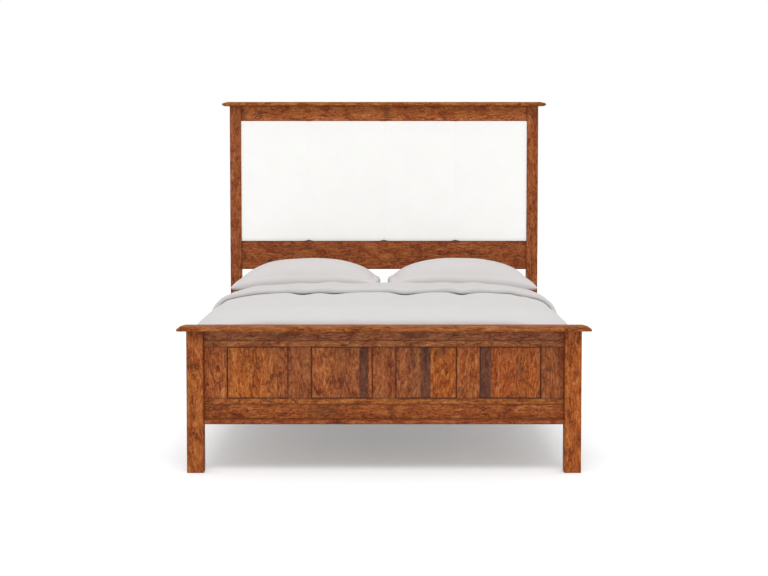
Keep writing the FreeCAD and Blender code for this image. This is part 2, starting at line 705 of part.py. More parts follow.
for side_name, side in SIDES.items():
    x = "-at.rail_outer" if side < 0 else "at.rail_inner"
    rail = board(f"side_rail_{side_name}", (x, "at.foot_back", "size.under_clearance"),
                 "size.side_rail_thickness", "at.rail_length", "size.side_rail_height")
    round_edges(rail, "size.post_arris", lambda a, b: same(a.x, b.x) and same(a.z, b.z))
    recess_x = "(size.side_rail_thickness - size.plate_width) / 2 - size.glue_gap"
    hole_deep = "size.plate_screw_length + size.screw_gap"
    for end_name, end in ENDS.items():
        recess_y = "0" if end < 0 else "at.rail_length - size.plate_metal - size.glue_gap"
        block(rail, "Subtractive", f"Plate_recess_{end_name}",
              (recess_x, recess_y, "size.plate_above_rail - size.glue_gap"),
              "size.plate_width + 2 * size.glue_gap", "size.plate_metal + size.glue_gap",
              "size.plate_height + 2 * size.glue_gap")
        hole_y = "0" if end < 0 else f"at.rail_length - ({hole_deep})"
        for index, z in enumerate(plate_screw_heights):
            drill(rail, f"Screw_hole_{end_name}_{index}",
                  ("size.side_rail_thickness / 2", hole_y, f"{z} - size.under_clearance"),
                  "size.screw_radius + size.screw_gap", hole_deep, along="y")
    nodes.append(rail)

    ledger_x = "-at.rail_inner" if side < 0 else "at.ledger_inner"
    ledger = board(f"slat_ledger_{side_name}",
                   (ledger_x, "at.foot_back + size.ledger_end_gap",
                    "at.slat_bottom - size.ledger_height"),
                   "size.ledger_thickness", "at.rail_length - 2 * size.ledger_end_gap",
                   "size.ledger_height")
    hole = drill(ledger, "Slat_screw_hole",
                 ("size.ledger_thickness / 2", "size.slat_first - size.ledger_end_gap",
                  "size.ledger_height - (size.slat_screw_length - size.slat_thickness + size.screw_gap)"),
                 "size.screw_radius + size.screw_gap", "size.slat_screw_length")
    doc.recompute()
    row_of_holes = ledger.newObject("PartDesign::LinearPattern", "Slat_screw_holes")
    row_of_holes.Originals = [hole]
    y_axis = [part for part in ledger.Origin.OriginFeatures if part.Role == "Y_Axis"][0]
    row_of_holes.Direction = (y_axis, [""])
    row_of_holes.setExpression("Length", "at.slat_pitch * (size.slat_count - 1)")
    row_of_holes.setExpression("Occurrences", "size.slat_count")
    ledger.Tip = row_of_holes
    nodes.append(ledger)

slat_screws = []
slat_half = "(at.rail_inner - size.slat_end_gap)"
for index in range(int(sheet.get("slat_count"))):
    middle = slat_place(index)
    corner = (f"-{slat_half}", f"{middle} - size.slat_width / 2", "at.slat_bottom")
    slat = board(f"slat_{index + 1:02d}", corner, f"2 * {slat_half}", "size.slat_width",
                 "size.slat_thickness")
    round_edges(slat, "2 * size.board_arris", along_x)
    for side_name, side in SIDES.items():
        hole_x = f"{slat_half} + {side} * {slat_screw_x}"
        drill(slat, f"Screw_hole_{side_name}", (hole_x, "size.slat_width / 2", "0"),
              "size.screw_radius + size.screw_gap", "size.slat_thickness")
        sink = slat.newObject("PartDesign::SubtractiveCone", f"Countersink_{side_name}")
        sink.AttachmentSupport = [(plane_of(slat, "XY_Plane"), "")]
        sink.MapMode = "FlatFace"
        sink.setExpression("AttachmentOffset.Base.x", hole_x)
        sink.setExpression("AttachmentOffset.Base.y", "size.slat_width / 2")
        sink.setExpression("AttachmentOffset.Base.z", "size.slat_thickness - size.screw_head_height")
        sink.setExpression("Radius1", "size.screw_radius + size.screw_gap")
        sink.setExpression("Radius2", "size.screw_head_radius + size.screw_gap")
        sink.setExpression("Height", "size.screw_head_height")
        slat_screws.append(screw(f"slat_screw_{len(slat_screws)}",
                                 (f"{side} * {slat_screw_x}", middle, "size.slat_top"),
                                 "-z", "size.slat_screw_length"))
    nodes.append(slat)
nodes.append(group("slat_screws", slat_screws))

# ---------------------------------------------------------------- centre beam and its hangers
beam = board("centre_beam", ("-size.beam_width / 2", "at.beam_front", "at.beam_bottom"),
             "size.beam_width", "at.beam_back - at.beam_front", "size.beam_height")
nodes.append(beam)

plate_screws = []
for end_name, end in ENDS.items():
    wall_y = "at.foot_frame_back" if end < 0 else "at.head_frame_front - size.hanger_metal"
    reach_y = "0" if end < 0 else "size.hanger_metal - size.hanger_seat"
    half = "at.hanger_half"
    wide = f"2 * ({half} + size.hanger_flange)"
    tall = "at.slat_bottom - at.beam_bottom + size.hanger_metal - 2 * size.glue_gap"
    hanger = board(f"beam_hanger_{end_name}",
                   (f"-{half} - size.hanger_flange", wall_y, "at.beam_bottom - size.hanger_metal"),
                   wide, "size.hanger_metal", tall)
    block(hanger, "Additive", "Seat", ("size.hanger_flange", reach_y, "0"),
          f"2 * {half}", "size.hanger_seat", "size.hanger_metal")
    for name, x in (("left", "size.hanger_flange"),
                    ("right", f"size.hanger_flange + 2 * {half} - size.hanger_metal")):
        block(hanger, "Additive", f"Cheek_{name}", (x, reach_y, "0"),
              "size.hanger_metal", "size.hanger_seat", tall)
    screw_y = "at.foot_frame_back + size.hanger_metal" if end < 0 else wall_y
    for side_name, side in SIDES.items():
        hole_x = f"{half} + size.hanger_flange + {side} * at.hanger_screw_x"
        sink = hanger.newObject("PartDesign::SubtractiveCone", f"Countersink_{side_name}")
        sink.AttachmentSupport = [(plane_of(hanger, "XY_Plane"), "")]
        sink.MapMode = "FlatFace"
        turned = FreeCAD.Rotation(FreeCAD.Vector(1, 0, 0), -90)
        sink.AttachmentOffset = FreeCAD.Placement(FreeCAD.Vector(), turned)
        sink.setExpression("AttachmentOffset.Base.x", hole_x)
        sink.setExpression("AttachmentOffset.Base.z",
                           "at.hanger_screw_z - at.beam_bottom + size.hanger_metal")
        narrow, broad = ("Radius1", "Radius2") if end < 0 else ("Radius2", "Radius1")
        sink.setExpression(narrow, "size.screw_radius + size.screw_gap")
        sink.setExpression(broad, "size.screw_head_radius + size.screw_gap")
        sink.setExpression("Height", "size.hanger_metal")
        plate_screws.append(screw(f"hanger_screw_{end_name}_{side_name}",
                                  (f"{side} * at.hanger_screw_x", screw_y, "at.hanger_screw_z"),
                                  "-y" if end < 0 else "+y", "size.plate_screw_length"))
    nodes.append(hanger)

# ---------------------------------------------------------------- hooked fittings of the side rails
hook_plates = []
slot_plates = []
for side_name, side in SIDES.items():
    for end_name, end in ENDS.items():
        tag = f"{end_name}_{side_name}"
        middle_x = f"{side} * at.rail_middle"
        joint = "at.foot_back" if end < 0 else "at.head_front"
        plate_x = f"{middle_x} - size.plate_width / 2"
        post_side_y = f"{joint} - size.plate_metal" if end < 0 else joint
        rail_side_y = joint if end < 0 else f"{joint} - size.plate_metal"

        slotted = part_box(f"slot_blank_{tag}", (plate_x, post_side_y, "at.plate_bottom"),
                           "size.plate_width", "size.plate_metal", "size.plate_height")
        hooked = [part_box(f"hook_blank_{tag}", (plate_x, rail_side_y, "at.plate_bottom"),
                           "size.plate_width", "size.plate_metal", "size.plate_height")]
        slots = []
        for index in (0, 1):
            neck_z = f"at.plate_bottom + size.hook_first + {index} * size.hook_pitch"
            slot_wide = "size.hook_metal + 2 * size.slot_play"
            slots.append(part_box(f"slot_{tag}_{index}",
                                  (f"{middle_x} - ({slot_wide}) / 2", post_side_y,
                                   f"{neck_z} - size.glue_gap"),
                                  slot_wide, "size.plate_metal",
                                  "size.hook_neck + size.hook_drop + size.slot_play"))
            reach = "size.plate_metal + size.hook_slack + size.hook_metal"
            neck_y = f"{joint} - ({reach})" if end < 0 else joint
            hook_x = f"{middle_x} - size.hook_metal / 2"
            hooked.append(part_box(f"neck_{tag}_{index}", (hook_x, neck_y, neck_z),
                                   "size.hook_metal", reach, "size.hook_neck"))
            nose_y = neck_y if end < 0 else f"{joint} + size.plate_metal + size.hook_slack"
            hooked.append(part_box(f"nose_{tag}_{index}", (hook_x, nose_y, f"{neck_z} - size.hook_drop"),
                                   "size.hook_metal", "size.hook_metal",
                                   "size.hook_neck + size.hook_drop"))
        for index, z in enumerate(plate_screw_heights):
            into_post = "-y" if end < 0 else "+y"
            into_rail = "+y" if end < 0 else "-y"
            plate_screws.append(screw(f"post_plate_screw_{tag}_{index}", (middle_x, joint, z),
                                      into_post, "size.plate_screw_length"))
            plate_screws.append(screw(f"rail_plate_screw_{tag}_{index}", (middle_x, joint, z),
                                      into_rail, "size.plate_screw_length"))
        holes = []
        for index, z in enumerate(plate_screw_heights):
            for name, turn, y in (("slot", 90 if end < 0 else -90, joint),
                                  ("hook", -90 if end < 0 else 90, joint)):
                cone = doc.addObject("Part::Cone", f"{name}_countersink_{tag}_{index}")
                cone.Placement = FreeCAD.Placement(
                    FreeCAD.Vector(), FreeCAD.Rotation(FreeCAD.Vector(1, 0, 0), turn))
                for axis, text in zip("xyz", (middle_x, y, z)):
                    cone.setExpression(f"Placement.Base.{axis}", text)
                cone.setExpression("Radius1", "size.screw_head_radius + size.screw_gap")
                cone.setExpression("Radius2", "size.screw_radius + size.screw_gap")
                cone.setExpression("Height", "size.plate_metal")
                holes.append((name, cone))
        for name, blank, cuts in (("slot", slotted, slots), ("hook", None, [])):
            if name == "hook":
                blank = doc.addObject("Part::MultiFuse", f"hook_body_{tag}")
                blank.Shapes = hooked
            tools = doc.addObject("Part::Compound", f"{name}_cuts_{tag}")
            tools.Links = cuts + [cone for kind, cone in holes if kind == name]
            finished = doc.addObject("Part::Cut", f"{name}_plate_{tag}")
            finished.Base = blank
            finished.Tool = tools
            (slot_plates if name == "slot" else hook_plates).append(finished)
nodes.append(group("post_slot_plates", slot_plates))
nodes.append(group("rail_hook_plates", hook_plates))
nodes.append(group("plate_screws", plate_screws))


# ---------------------------------------------------------------- levelling bolts and their inserts
inserts = []
for side_name, side in SIDES.items():
    for end_name, end in ENDS.items():
        width = f"size.{end_name}_post_width"
        x = f"{side} * (at.side - {width} / 2)"
        y = f"at.{end_name}_front + size.{end_name}_post_depth / 2"
        tag = f"{end_name}_{side_name}"
        bolt = new_body(f"levelling_bolt_{tag}", (x, y, FLOOR))
        tall = "size.bolt_head_height + size.bolt_length"
        points = [("0", "0"), ("size.bolt_head_radius", "0"),
                  ("size.bolt_head_radius", "size.bolt_head_height"),
                  ("size.bolt_radius", "size.bolt_head_height"), ("size.bolt_radius", tall), ("0", tall)]
        profile = outline(bolt, "Half_profile", points, "XZ_Plane")
        turned = bolt.newObject("PartDesign::Revolution", "Turned")
        turned.Profile = profile
        turned.ReferenceAxis = (profile, ["V_Axis"])
        turned.Angle = 360
        doc.recompute()
        radius = sheet.get("bolt_head_radius")
        rims = []
        for index, edge in enumerate(turned.Shape.Edges, start=1):
            circle = getattr(edge, "Curve", None)
            if hasattr(circle, "Radius") and same(circle.Radius, radius):
                rims.append(f"Edge{index}")
        eased = bolt.newObject("PartDesign::Fillet", "Rim")
        eased.Base = (turned, rims)
        eased.setExpression("Radius", "size.bolt_head_rounding")
        nodes.append(bolt)

        insert_z = "size.bolt_head_height + size.bolt_head_play"
        shell = part_cylinder(f"insert_outside_{tag}", (x, y, insert_z),
                              "size.insert_radius", "size.insert_length")
        bore = part_cylinder(f"insert_bore_{tag}", (x, y, insert_z),
                             "size.bolt_radius + size.bolt_running_gap", "size.insert_length")
        insert = doc.addObject("Part::Cut", f"insert_{tag}")
        insert.Base = shell
        insert.Tool = bore
        inserts.append(insert)
nodes.append(group("threaded_inserts", inserts))

# ---------------------------------------------------------------- bedding
mattress = board("mattress", ("-size.mattress_width / 2", "at.mattress_foot", "size.slat_top"),
                 "size.mattress_width", "size.mattress_length", "size.mattress_height")
round_edges(mattress, "size.mattress_rounding",
            lambda a, b: upright(a, b) or same(a.z, b.z) and a.z > 1)
nodes.append(mattress)
doc.recompute()


def size(name):
    """A driving dimension as a number."""
    return sheet.get(name)


def vector(x, y, z):
    return FreeCAD.Vector(x, y, z)


cover_top = at.mattress_top + size("duvet_loft")

# the middle of the shoulder's curve, as shares of its run and of its fall
SHOULDER_BEND_OUT = 0.72
SHOULDER_BEND_DOWN = 0.36


def cover_section(y, middle_z, extra, hem_z):
    """The duvet's outer cross-section at one Y: a nearly level top, round shoulders, hanging sides."""
    flat = at.duvet_flat_half
    shoulder = at.duvet_shoulder_half + extra
    hem = at.duvet_hem_half + extra
    edge_z = middle_z - size("duvet_crown")
    fall = max(0.0, cover_top - middle_z)
    turn_z = middle_z + fall / 2 - size("duvet_shoulder_drop")
    bend_x = flat + SHOULDER_BEND_OUT * (shoulder - flat)
    bend_z = edge_z - SHOULDER_BEND_DOWN * (edge_z - turn_z)
    left = Part.Arc(vector(-shoulder, y, turn_z), vector(-bend_x, y, bend_z), vector(-flat, y, edge_z))
    top = Part.Arc(vector(-flat, y, edge_z), vector(0, y, middle_z), vector(flat, y, edge_z))
    right = Part.Arc(vector(flat, y, edge_z), vector(bend_x, y, bend_z), vector(shoulder, y, turn_z))
    edges = [
        Part.LineSegment(vector(-hem, y, hem_z), vector(-shoulder, y, turn_z)).toShape(),
        left.toShape(), top.toShape(), right.toShape(),
        Part.LineSegment(vector(shoulder, y, turn_z), vector(hem, y, hem_z)).toShape(),
        Part.LineSegment(vector(hem, y, hem_z), vector(-hem, y, hem_z)).toShape(),
    ]
    return Part.Wire(edges)


def cover_solid(stations):
    """A loft through the cover's sections; each station is (y, middle_z, extra, hem_z)."""
    return Part.makeLoft([cover_section(*station) for station in stations], True, True)


foot_y = at.foot_back + size("cap_overhang") + 5 * size("cloth_gap")
fold_back_y = at.head_front - size("pillow_head_gap") - size("pillow_depth") - size("cloth_gap")
fold_front_y = fold_back_y - size("fold_length")
hem_z = size("duvet_hem_height")
foot_drop = size("duvet_foot_drop")


def cover_height(y):
    """Height of the duvet's middle: it falls away over the mattress's foot end."""
    reach = min(1.0, (y - foot_y) / (3 * foot_drop))
    return cover_top - foot_drop * (1 - reach) ** 2


foot_steps = [foot_y + 3 * foot_drop * share for share in (0.0, 0.12, 0.3, 0.55, 1.0)]
outer = cover_solid([(y, cover_height(y), 0.0, hem_z) for y in foot_steps + [fold_back_y]])

# what lies under the duvet: the mattress, and the side rails' width further down
gap = size("cloth_gap")
top_half = size("mattress_width") / 2 + gap
rail_half = at.rail_outer + 10 * gap
under_top = at.mattress_top + gap
shelf = at.rail_top + 10 * gap
# the flat that just touches the mattress's rounded edge
bevel = size("mattress_rounding") * (2 - math.sqrt(2))


def under_section(y):
    """Cross-section of the space under the duvet."""
    corners = [(-rail_half, 0.0), (-rail_half, shelf), (-top_half, under_top - bevel),
               (-top_half + bevel, under_top), (top_half - bevel, under_top),
               (top_half, under_top - bevel), (rail_half, shelf), (rail_half, 0.0)]
    points = [vector(x, y, z) for x, z in corners]
    return Part.makePolygon(points + [points[0]])


mattress_room = Part.makeLoft([under_section(at.mattress_foot - gap), under_section(at.head_back)],
                              True, True)
rail_room = Part.makeBox(2 * rail_half, at.length, shelf, vector(-rail_half, -at.length / 2, 0))


def soft_piece(label, shape):
    """A soft piece that is set from its finished shape."""
    piece = doc.addObject("Part::Feature", label)
    piece.Label = label
    piece.Shape = shape
    nodes.append(piece)


soft_piece("duvet", outer.cut(mattress_room).cut(rail_room))

# the turned-back fold: a thin layer over the duvet, with a rolled front edge
fold = size("fold_thickness")
fold_hem = hem_z + size("fold_hem_rise")
fold_profile = [(0.0, 0.15), (0.02, 0.6), (0.06, 0.9), (0.12, 1.0), (0.9, 1.0), (0.97, 0.75), (1.0, 0.3)]
fold_stations = []
for share, swell in fold_profile:
    y = fold_front_y + share * size("fold_length")
    fold_stations.append((y, cover_top + fold * swell, fold * swell, fold_hem))
under_fold = cover_solid([(fold_front_y - 1, cover_top + gap, gap, hem_z),
                          (fold_back_y + 1, cover_top + gap, gap, hem_z)])
soft_piece("duvet_fold", cover_solid(fold_stations).cut(under_fold))


def pillow_solid(side):
    """A plump pillow lying on the mattress: thin seamed edges, crowned between them, level below."""
    half = size("pillow_length") / 2
    depth = size("pillow_depth")
    back = at.head_front - size("pillow_head_gap")
    rest = at.mattress_top + gap
    outer_seam = rest + size("pillow_outer_seam")
    inner_seam = rest + size("pillow_inner_seam")
    edge = size("pillow_edge") / 2
    crown = rest + size("pillow_height")
    sections = []
    for share in (-1.0, -0.93, -0.8, -0.6, -0.3, 0.0, 0.3, 0.6, 0.8, 0.93, 1.0):
        seam = outer_seam + (inner_seam - outer_seam) * (share + 1) / 2
        fullness = (1 - share * share) ** (0.55 if share < 0 else 0.78)
        level = (1 - share * share) ** 0.35
        top = seam + 2 * edge + (crown - seam - 2 * edge) * fullness
        bottom = seam - 2 * edge - (seam - 2 * edge - rest) * level
        inset = size("pillow_draw_in") * (1 - share * share)
        front_y = back - depth + inset
        back_y = back - inset
        x = side * (at.pillow_centre - share * half)
        middle_y = (front_y + back_y) / 2
        low_front = vector(x, front_y, seam - edge)
        low_back = vector(x, back_y, seam - edge)
        high_front = vector(x, front_y, seam + edge)
        high_back = vector(x, back_y, seam + edge)
        sections.append(Part.Wire([
            Part.Arc(high_front, vector(x, middle_y, top), high_back).toShape(),
            Part.LineSegment(high_back, low_back).toShape(),
            Part.Arc(low_back, vector(x, middle_y, bottom), low_front).toShape(),
            Part.LineSegment(low_front, high_front).toShape(),
        ]))
    return Part.makeLoft(sections, True, False)


for side_name, side in SIDES.items():
    soft_piece(f"pillow_{side_name}", pillow_solid(side))

# ---------------------------------------------------------------- checks and files
doc.recompute()
for item in doc.Objects:
    if "Invalid" in item.State or "Error" in item.State:
        raise RuntimeError(f"{item.Label} failed: {item.State}")
os.makedirs("parts", exist_ok=True)
for piece in nodes:
    if piece.Shape.isNull() or not piece.Shape.isValid():
        raise RuntimeError(f"{piece.Label} has no valid shape")
    piece.Shape.exportStep(os.path.join("parts", f"{piece.Label}.step"))
print(f"{len(nodes)} pieces written")
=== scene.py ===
"""The looks of a queen-size panel bed: stained wood, an upholstered headboard panel and its bedding.

Laid out as an add-on: property groups hold what a user would change, one operator makes each group of
pieces, and main() runs them in order. Metres, +Z up, the footboard faces -Y.
"""

import math

import bmesh
import bpy
import numpy as np
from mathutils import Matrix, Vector, noise
from mathutils.bvhtree import BVHTree


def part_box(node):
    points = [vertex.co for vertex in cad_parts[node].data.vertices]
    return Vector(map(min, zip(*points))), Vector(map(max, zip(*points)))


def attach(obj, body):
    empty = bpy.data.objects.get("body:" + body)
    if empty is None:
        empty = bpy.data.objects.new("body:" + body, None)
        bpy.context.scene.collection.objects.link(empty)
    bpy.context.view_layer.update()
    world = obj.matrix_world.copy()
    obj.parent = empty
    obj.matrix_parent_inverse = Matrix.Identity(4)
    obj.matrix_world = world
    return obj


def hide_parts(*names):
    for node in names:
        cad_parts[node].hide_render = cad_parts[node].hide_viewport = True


bl_info = {
    "name": "Panel bed",
    "version": (1, 0, 0),
    "blender": (4, 5, 0),
    "location": "View3D > Sidebar > Panel bed",
    "description": "Finishes the boards, fittings, upholstery and bedding of a panel bed",
    "category": "Object",
}

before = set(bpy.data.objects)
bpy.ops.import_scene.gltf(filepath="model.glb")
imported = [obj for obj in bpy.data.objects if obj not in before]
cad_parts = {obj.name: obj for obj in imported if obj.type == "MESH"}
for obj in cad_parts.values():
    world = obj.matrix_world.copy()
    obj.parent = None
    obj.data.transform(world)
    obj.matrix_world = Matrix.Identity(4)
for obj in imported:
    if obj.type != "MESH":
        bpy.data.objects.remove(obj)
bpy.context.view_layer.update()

MM = 0.001
BED = "bed"


def linear(code):
    """An sRGB hex colour as linear RGBA."""
    channels = [int(code[place:place + 2], 16) / 255 for place in (1, 3, 5)]
    return (*[c / 12.92 if c <= 0.04045 else ((c + 0.055) / 1.055) ** 2.4 for c in channels], 1.0)


def add_node(tree, kind, inputs=None, **settings):
    """Adds a node: settings are its properties, inputs its sockets.

    An input is a value, an output to link, or a node, whose first output is linked.
    """
    made = tree.nodes.new(kind)
    for name, value in settings.items():
        setattr(made, name, value)
    for name, value in (inputs or {}).items():
        if isinstance(value, bpy.types.Node):
            value = value.outputs[0]
        if isinstance(value, bpy.types.NodeSocket):
            tree.links.new(value, made.inputs[name])
        else:
            made.inputs[name].default_value = value
    return made


def empty_material(name):
    """A new material and its emptied node tree."""
    material = bpy.data.materials.new(name)
    material.use_nodes = True
    material.node_tree.nodes.clear()
    return material, material.node_tree


def between(low, high, value):
    """0 at low and 1 at high, smooth in between and level beyond them; low may be the larger."""
    share = min(1.0, max(0.0, (value - low) / (high - low)))
    return share * share * (3 - 2 * share)


# ------------------------------------------------------------------ wood
# Grain direction of a board: the turn that brings the grain onto X.
GRAIN = {"x": (0.0, 0.0, 0.0), "y": (0.0, 0.0, -math.pi / 2), "z": (0.0, math.pi / 2, 0.0)}
IN_MILLIMETRES = (1000.0, 1000.0, 1000.0)


def grained(tree, kind, place, along, across, look=None, **settings):
    """A pattern stretched with the grain: along it and across it, its cells measure so many mm."""
    stretched = add_node(tree, "ShaderNodeMapping",
                         {"Vector": place, "Scale": (1 / along, 1 / across, 1 / across)})
    return add_node(tree, kind, {"Vector": stretched, "Scale": 1.0, **(look or {})}, **settings)


def pushed(tree, place, pattern, reach):
    """Places pushed about by a pattern, by up to half of reach each way."""
    from_zero = add_node(tree, "ShaderNodeVectorMath",
                         {0: pattern.outputs["Color"], 1: (0.5, 0.5, 0.5)}, operation="SUBTRACT")
    return add_node(tree, "ShaderNodeVectorMath", {0: from_zero, 1: reach, 2: place},
                    operation="MULTIPLY_ADD")


def wood_marks(group, place, blotch):
    """The small dark marks of the wood: pores, pin knots, worm tracks and checks."""
    # pores are 0.2 mm wide in the wood and drawn 0.7 mm wide, so that they show
    pore = grained(group, "ShaderNodeTexNoise", place, 18, 0.7)
    marks = add_node(group, "ShaderNodeMapRange",
                     {"Value": pore, "From Min": 0.60, "From Max": 0.74, "To Max": 0.55},
                     interpolation_type="SMOOTHSTEP")
    # pin knots of 5 to 9 mm, one here and there
    knot = grained(group, "ShaderNodeTexVoronoi", place, 230, 105)
    knot_mark = add_node(group, "ShaderNodeMapRange",
                         {"Value": knot, "From Min": 0.105, "From Max": 0.045},
                         interpolation_type="SMOOTHSTEP")
    # worm tracks and checks: thin dark curls between cells, only where the stain's blotches are dark
    crack = grained(group, "ShaderNodeTexVoronoi", place, 42, 17, feature="DISTANCE_TO_EDGE")
    crack_line = add_node(group, "ShaderNodeMapRange",
                          {"Value": crack, "From Min": 0.15, "From Max": 0.01},
                          interpolation_type="SMOOTHSTEP")
    crack_zone = add_node(group, "ShaderNodeMapRange",
                          {"Value": blotch, "From Min": 0.53, "From Max": 0.42, "To Max": 0.9},
                          interpolation_type="SMOOTHSTEP")
    crack_mark = add_node(group, "ShaderNodeMath", {0: crack_line, 1: crack_zone},
                          operation="MULTIPLY")
    for other in (knot_mark, crack_mark):
        marks = add_node(group, "ShaderNodeMath", {0: marks, 1: other}, operation="MAXIMUM")
    return marks


def wood_figure():
    """The figure of rustic cherry under a wiping stain, in millimetres with the grain along X.

    Outputs Figure, about 0.5 on average and lighter above it, and Marks, the pores and small knots.
    """
    name = "Rustic cherry figure"
    if name in bpy.data.node_groups:
        return bpy.data.node_groups[name]
    group = bpy.data.node_groups.new(name, "ShaderNodeTree")
    for way, kind, sockets in (("INPUT", "NodeSocketVector", ("Vector", "Pith")),
                               ("OUTPUT", "NodeSocketFloat", ("Figure", "Marks"))):
        for socket in sockets:
            group.interface.new_socket(socket, in_out=way, socket_type=kind)
    source = add_node(group, "NodeGroupInput")
    place = source.outputs["Vector"]

    # the grain wanders: a slow push across it, up to 9 mm, and quick curls of 3 mm
    drift = grained(group, "ShaderNodeTexNoise", place, 150, 50, {"Detail": 2.0})
    drifted = pushed(group, place, drift, (0.0, 60.0, 60.0))
    curl = add_node(group, "ShaderNodeTexNoise", {"Vector": place, "Scale": 1 / 16, "Detail": 2.0})
    curled = pushed(group, drifted, curl, (14.0, 12.0, 12.0))

    # growth rings round a pith beside the board, 9 mm apart where they meet the face
    about_pith = add_node(group, "ShaderNodeVectorMath", {0: curled, 1: source.outputs["Pith"]},
                          operation="ADD")
    tilted = add_node(group, "ShaderNodeMapping",
                      {"Vector": about_pith, "Rotation": (0.0, 0.05, 0.09)})
    rings = add_node(group, "ShaderNodeTexWave",
                     {"Vector": tilted, "Scale": 0.035, "Distortion": 1.5, "Detail": 2.0},
                     wave_type="RINGS", rings_direction="X", wave_profile="SIN")

    # stain taken up in blotches about 30 mm long, curly flecks of 6 mm, and streaks along the board
    blotch = grained(group, "ShaderNodeTexNoise", drifted, 75, 28, {"Detail": 3.0, "Roughness": 0.6})
    fleck = grained(group, "ShaderNodeTexNoise", curled, 20, 7,
                    {"Detail": 3.0, "Roughness": 0.65, "Distortion": 0.8})
    streak = grained(group, "ShaderNodeTexNoise", drifted, 130, 6, {"Detail": 4.0, "Roughness": 0.65})
    parts = ((rings.outputs["Fac"], 0.18), (blotch, 0.75), (fleck, 1.30), (streak, 1.05))
    # each part is about 0.5 on average, and so is their sum
    figure = 0.5 - sum(weight for _, weight in parts) / 2
    for part, weight in parts:
        figure = add_node(group, "ShaderNodeMath", {0: part, 1: weight, 2: figure},
                          operation="MULTIPLY_ADD")

    marks = wood_marks(group, curled, blotch)
    add_node(group, "NodeGroupOutput", {"Figure": figure, "Marks": marks})
    return group


def tone_ramp(tree, along, low, high, tones):
    """Tones of the staves that a panel is glued from: each starts at its own place along an axis."""
    place = add_node(tree, "ShaderNodeMapRange", {"Value": along, "From Min": low, "From Max": high})
    ramp = add_node(tree, "ShaderNodeValToRGB", {"Fac": place})
    ramp.color_ramp.interpolation = "CONSTANT"
    while len(ramp.color_ramp.elements) < len(tones):
        ramp.color_ramp.elements.new(1.0)
    for element, (start, tone) in zip(ramp.color_ramp.elements, tones):
        element.position = min(1.0, max(0.0, (start * MM - low) / (high - low)))
        element.color = tone
    return ramp.outputs["Color"]


def staves(tree, place, grain_place, name, tones):
    """The tone of each stave, and the place in the figure that it was sawn from."""
    low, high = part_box(name)
    across = add_node(tree, "ShaderNodeSeparateXYZ", {0: place}).outputs[0]
    tone = tone_ramp(tree, across, low.x, high.x, [(start, linear(code)) for start, code in tones])
    jump = tone_ramp(tree, across, low.x, high.x,
                     [(start, (index * 0.37 % 1, index * 0.61 % 1, 0.0, 1.0))
                      for index, (start, _) in enumerate(tones)])
    moved = add_node(tree, "ShaderNodeVectorMath", {0: jump, 1: (900.0, 0.0, 300.0), 2: grain_place},
                     operation="MULTIPLY_ADD")
    return tone, moved


def knot_marks(tree, place, grain_place, knots, marks):
    """Marks with a board's larger knots added, their outlines uneven over about 9 mm."""
    wobble = add_node(tree, "ShaderNodeTexNoise",
                      {"Vector": grain_place, "Scale": 1 / 9, "Detail": 2.0})
    for x, z, wide, tall in knots:
        apart = add_node(tree, "ShaderNodeVectorMath", {0: place, 1: (x * MM, 0.0, z * MM)},
                         operation="SUBTRACT")
        # the distance is 1 at the knot's outline
        scaled = add_node(tree, "ShaderNodeVectorMath", {0: apart, 1: (2000 / wide, 0.0, 2000 / tall)},
                          operation="MULTIPLY")
        far = add_node(tree, "ShaderNodeVectorMath", {0: scaled}, operation="LENGTH")
        uneven = add_node(tree, "ShaderNodeMath", {0: wobble, 1: 1.6, 2: far.outputs["Value"]},
                          operation="MULTIPLY_ADD")
        core = add_node(tree, "ShaderNodeMapRange",
                        {"Value": uneven, "From Min": 2.4, "From Max": 1.3, "To Max": 0.5},
                        interpolation_type="SMOOTHSTEP")
        marks = add_node(tree, "ShaderNodeMath", {0: marks, 1: core}, operation="MAXIMUM")
    return marks


def stain_shade_and_wear_rim(tree, place, name, hidden, strength):
    """A rim along the board's edges that fades from 2 to 5 mm inside them; hidden is in mm. Darkened, it
    is stain left in the joints and painted shade of the grooves and recesses; lightened, it is wear.
    """
    low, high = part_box(name)
    half = tuple((high - low) / 2 - Vector((hidden[0], 0.0, hidden[1])) * MM)
    from_middle = add_node(tree, "ShaderNodeVectorMath", {0: place, 1: tuple((low + high) / 2)},
                           operation="SUBTRACT")
    away = add_node(tree, "ShaderNodeVectorMath", {0: from_middle}, operation="ABSOLUTE")
    inside = add_node(tree, "ShaderNodeVectorMath", {0: half, 1: away}, operation="SUBTRACT")
    x, y, z = add_node(tree, "ShaderNodeSeparateXYZ", {0: inside}).outputs
    # the middle one of the three distances is small only beside an edge
    least = add_node(tree, "ShaderNodeMath", {0: x, 1: y}, operation="MINIMUM")
    most = add_node(tree, "ShaderNodeMath", {0: x, 1: y}, operation="MAXIMUM")
    inner = add_node(tree, "ShaderNodeMath", {0: most, 1: z}, operation="MINIMUM")
    from_edge = add_node(tree, "ShaderNodeMath", {0: least, 1: inner}, operation="MAXIMUM")
    return add_node(tree, "ShaderNodeMapRange",
                    {"Value": from_edge, "From Min": 5.2 * MM, "From Max": 2.0 * MM,
                     "To Max": strength}, interpolation_type="SMOOTHSTEP")


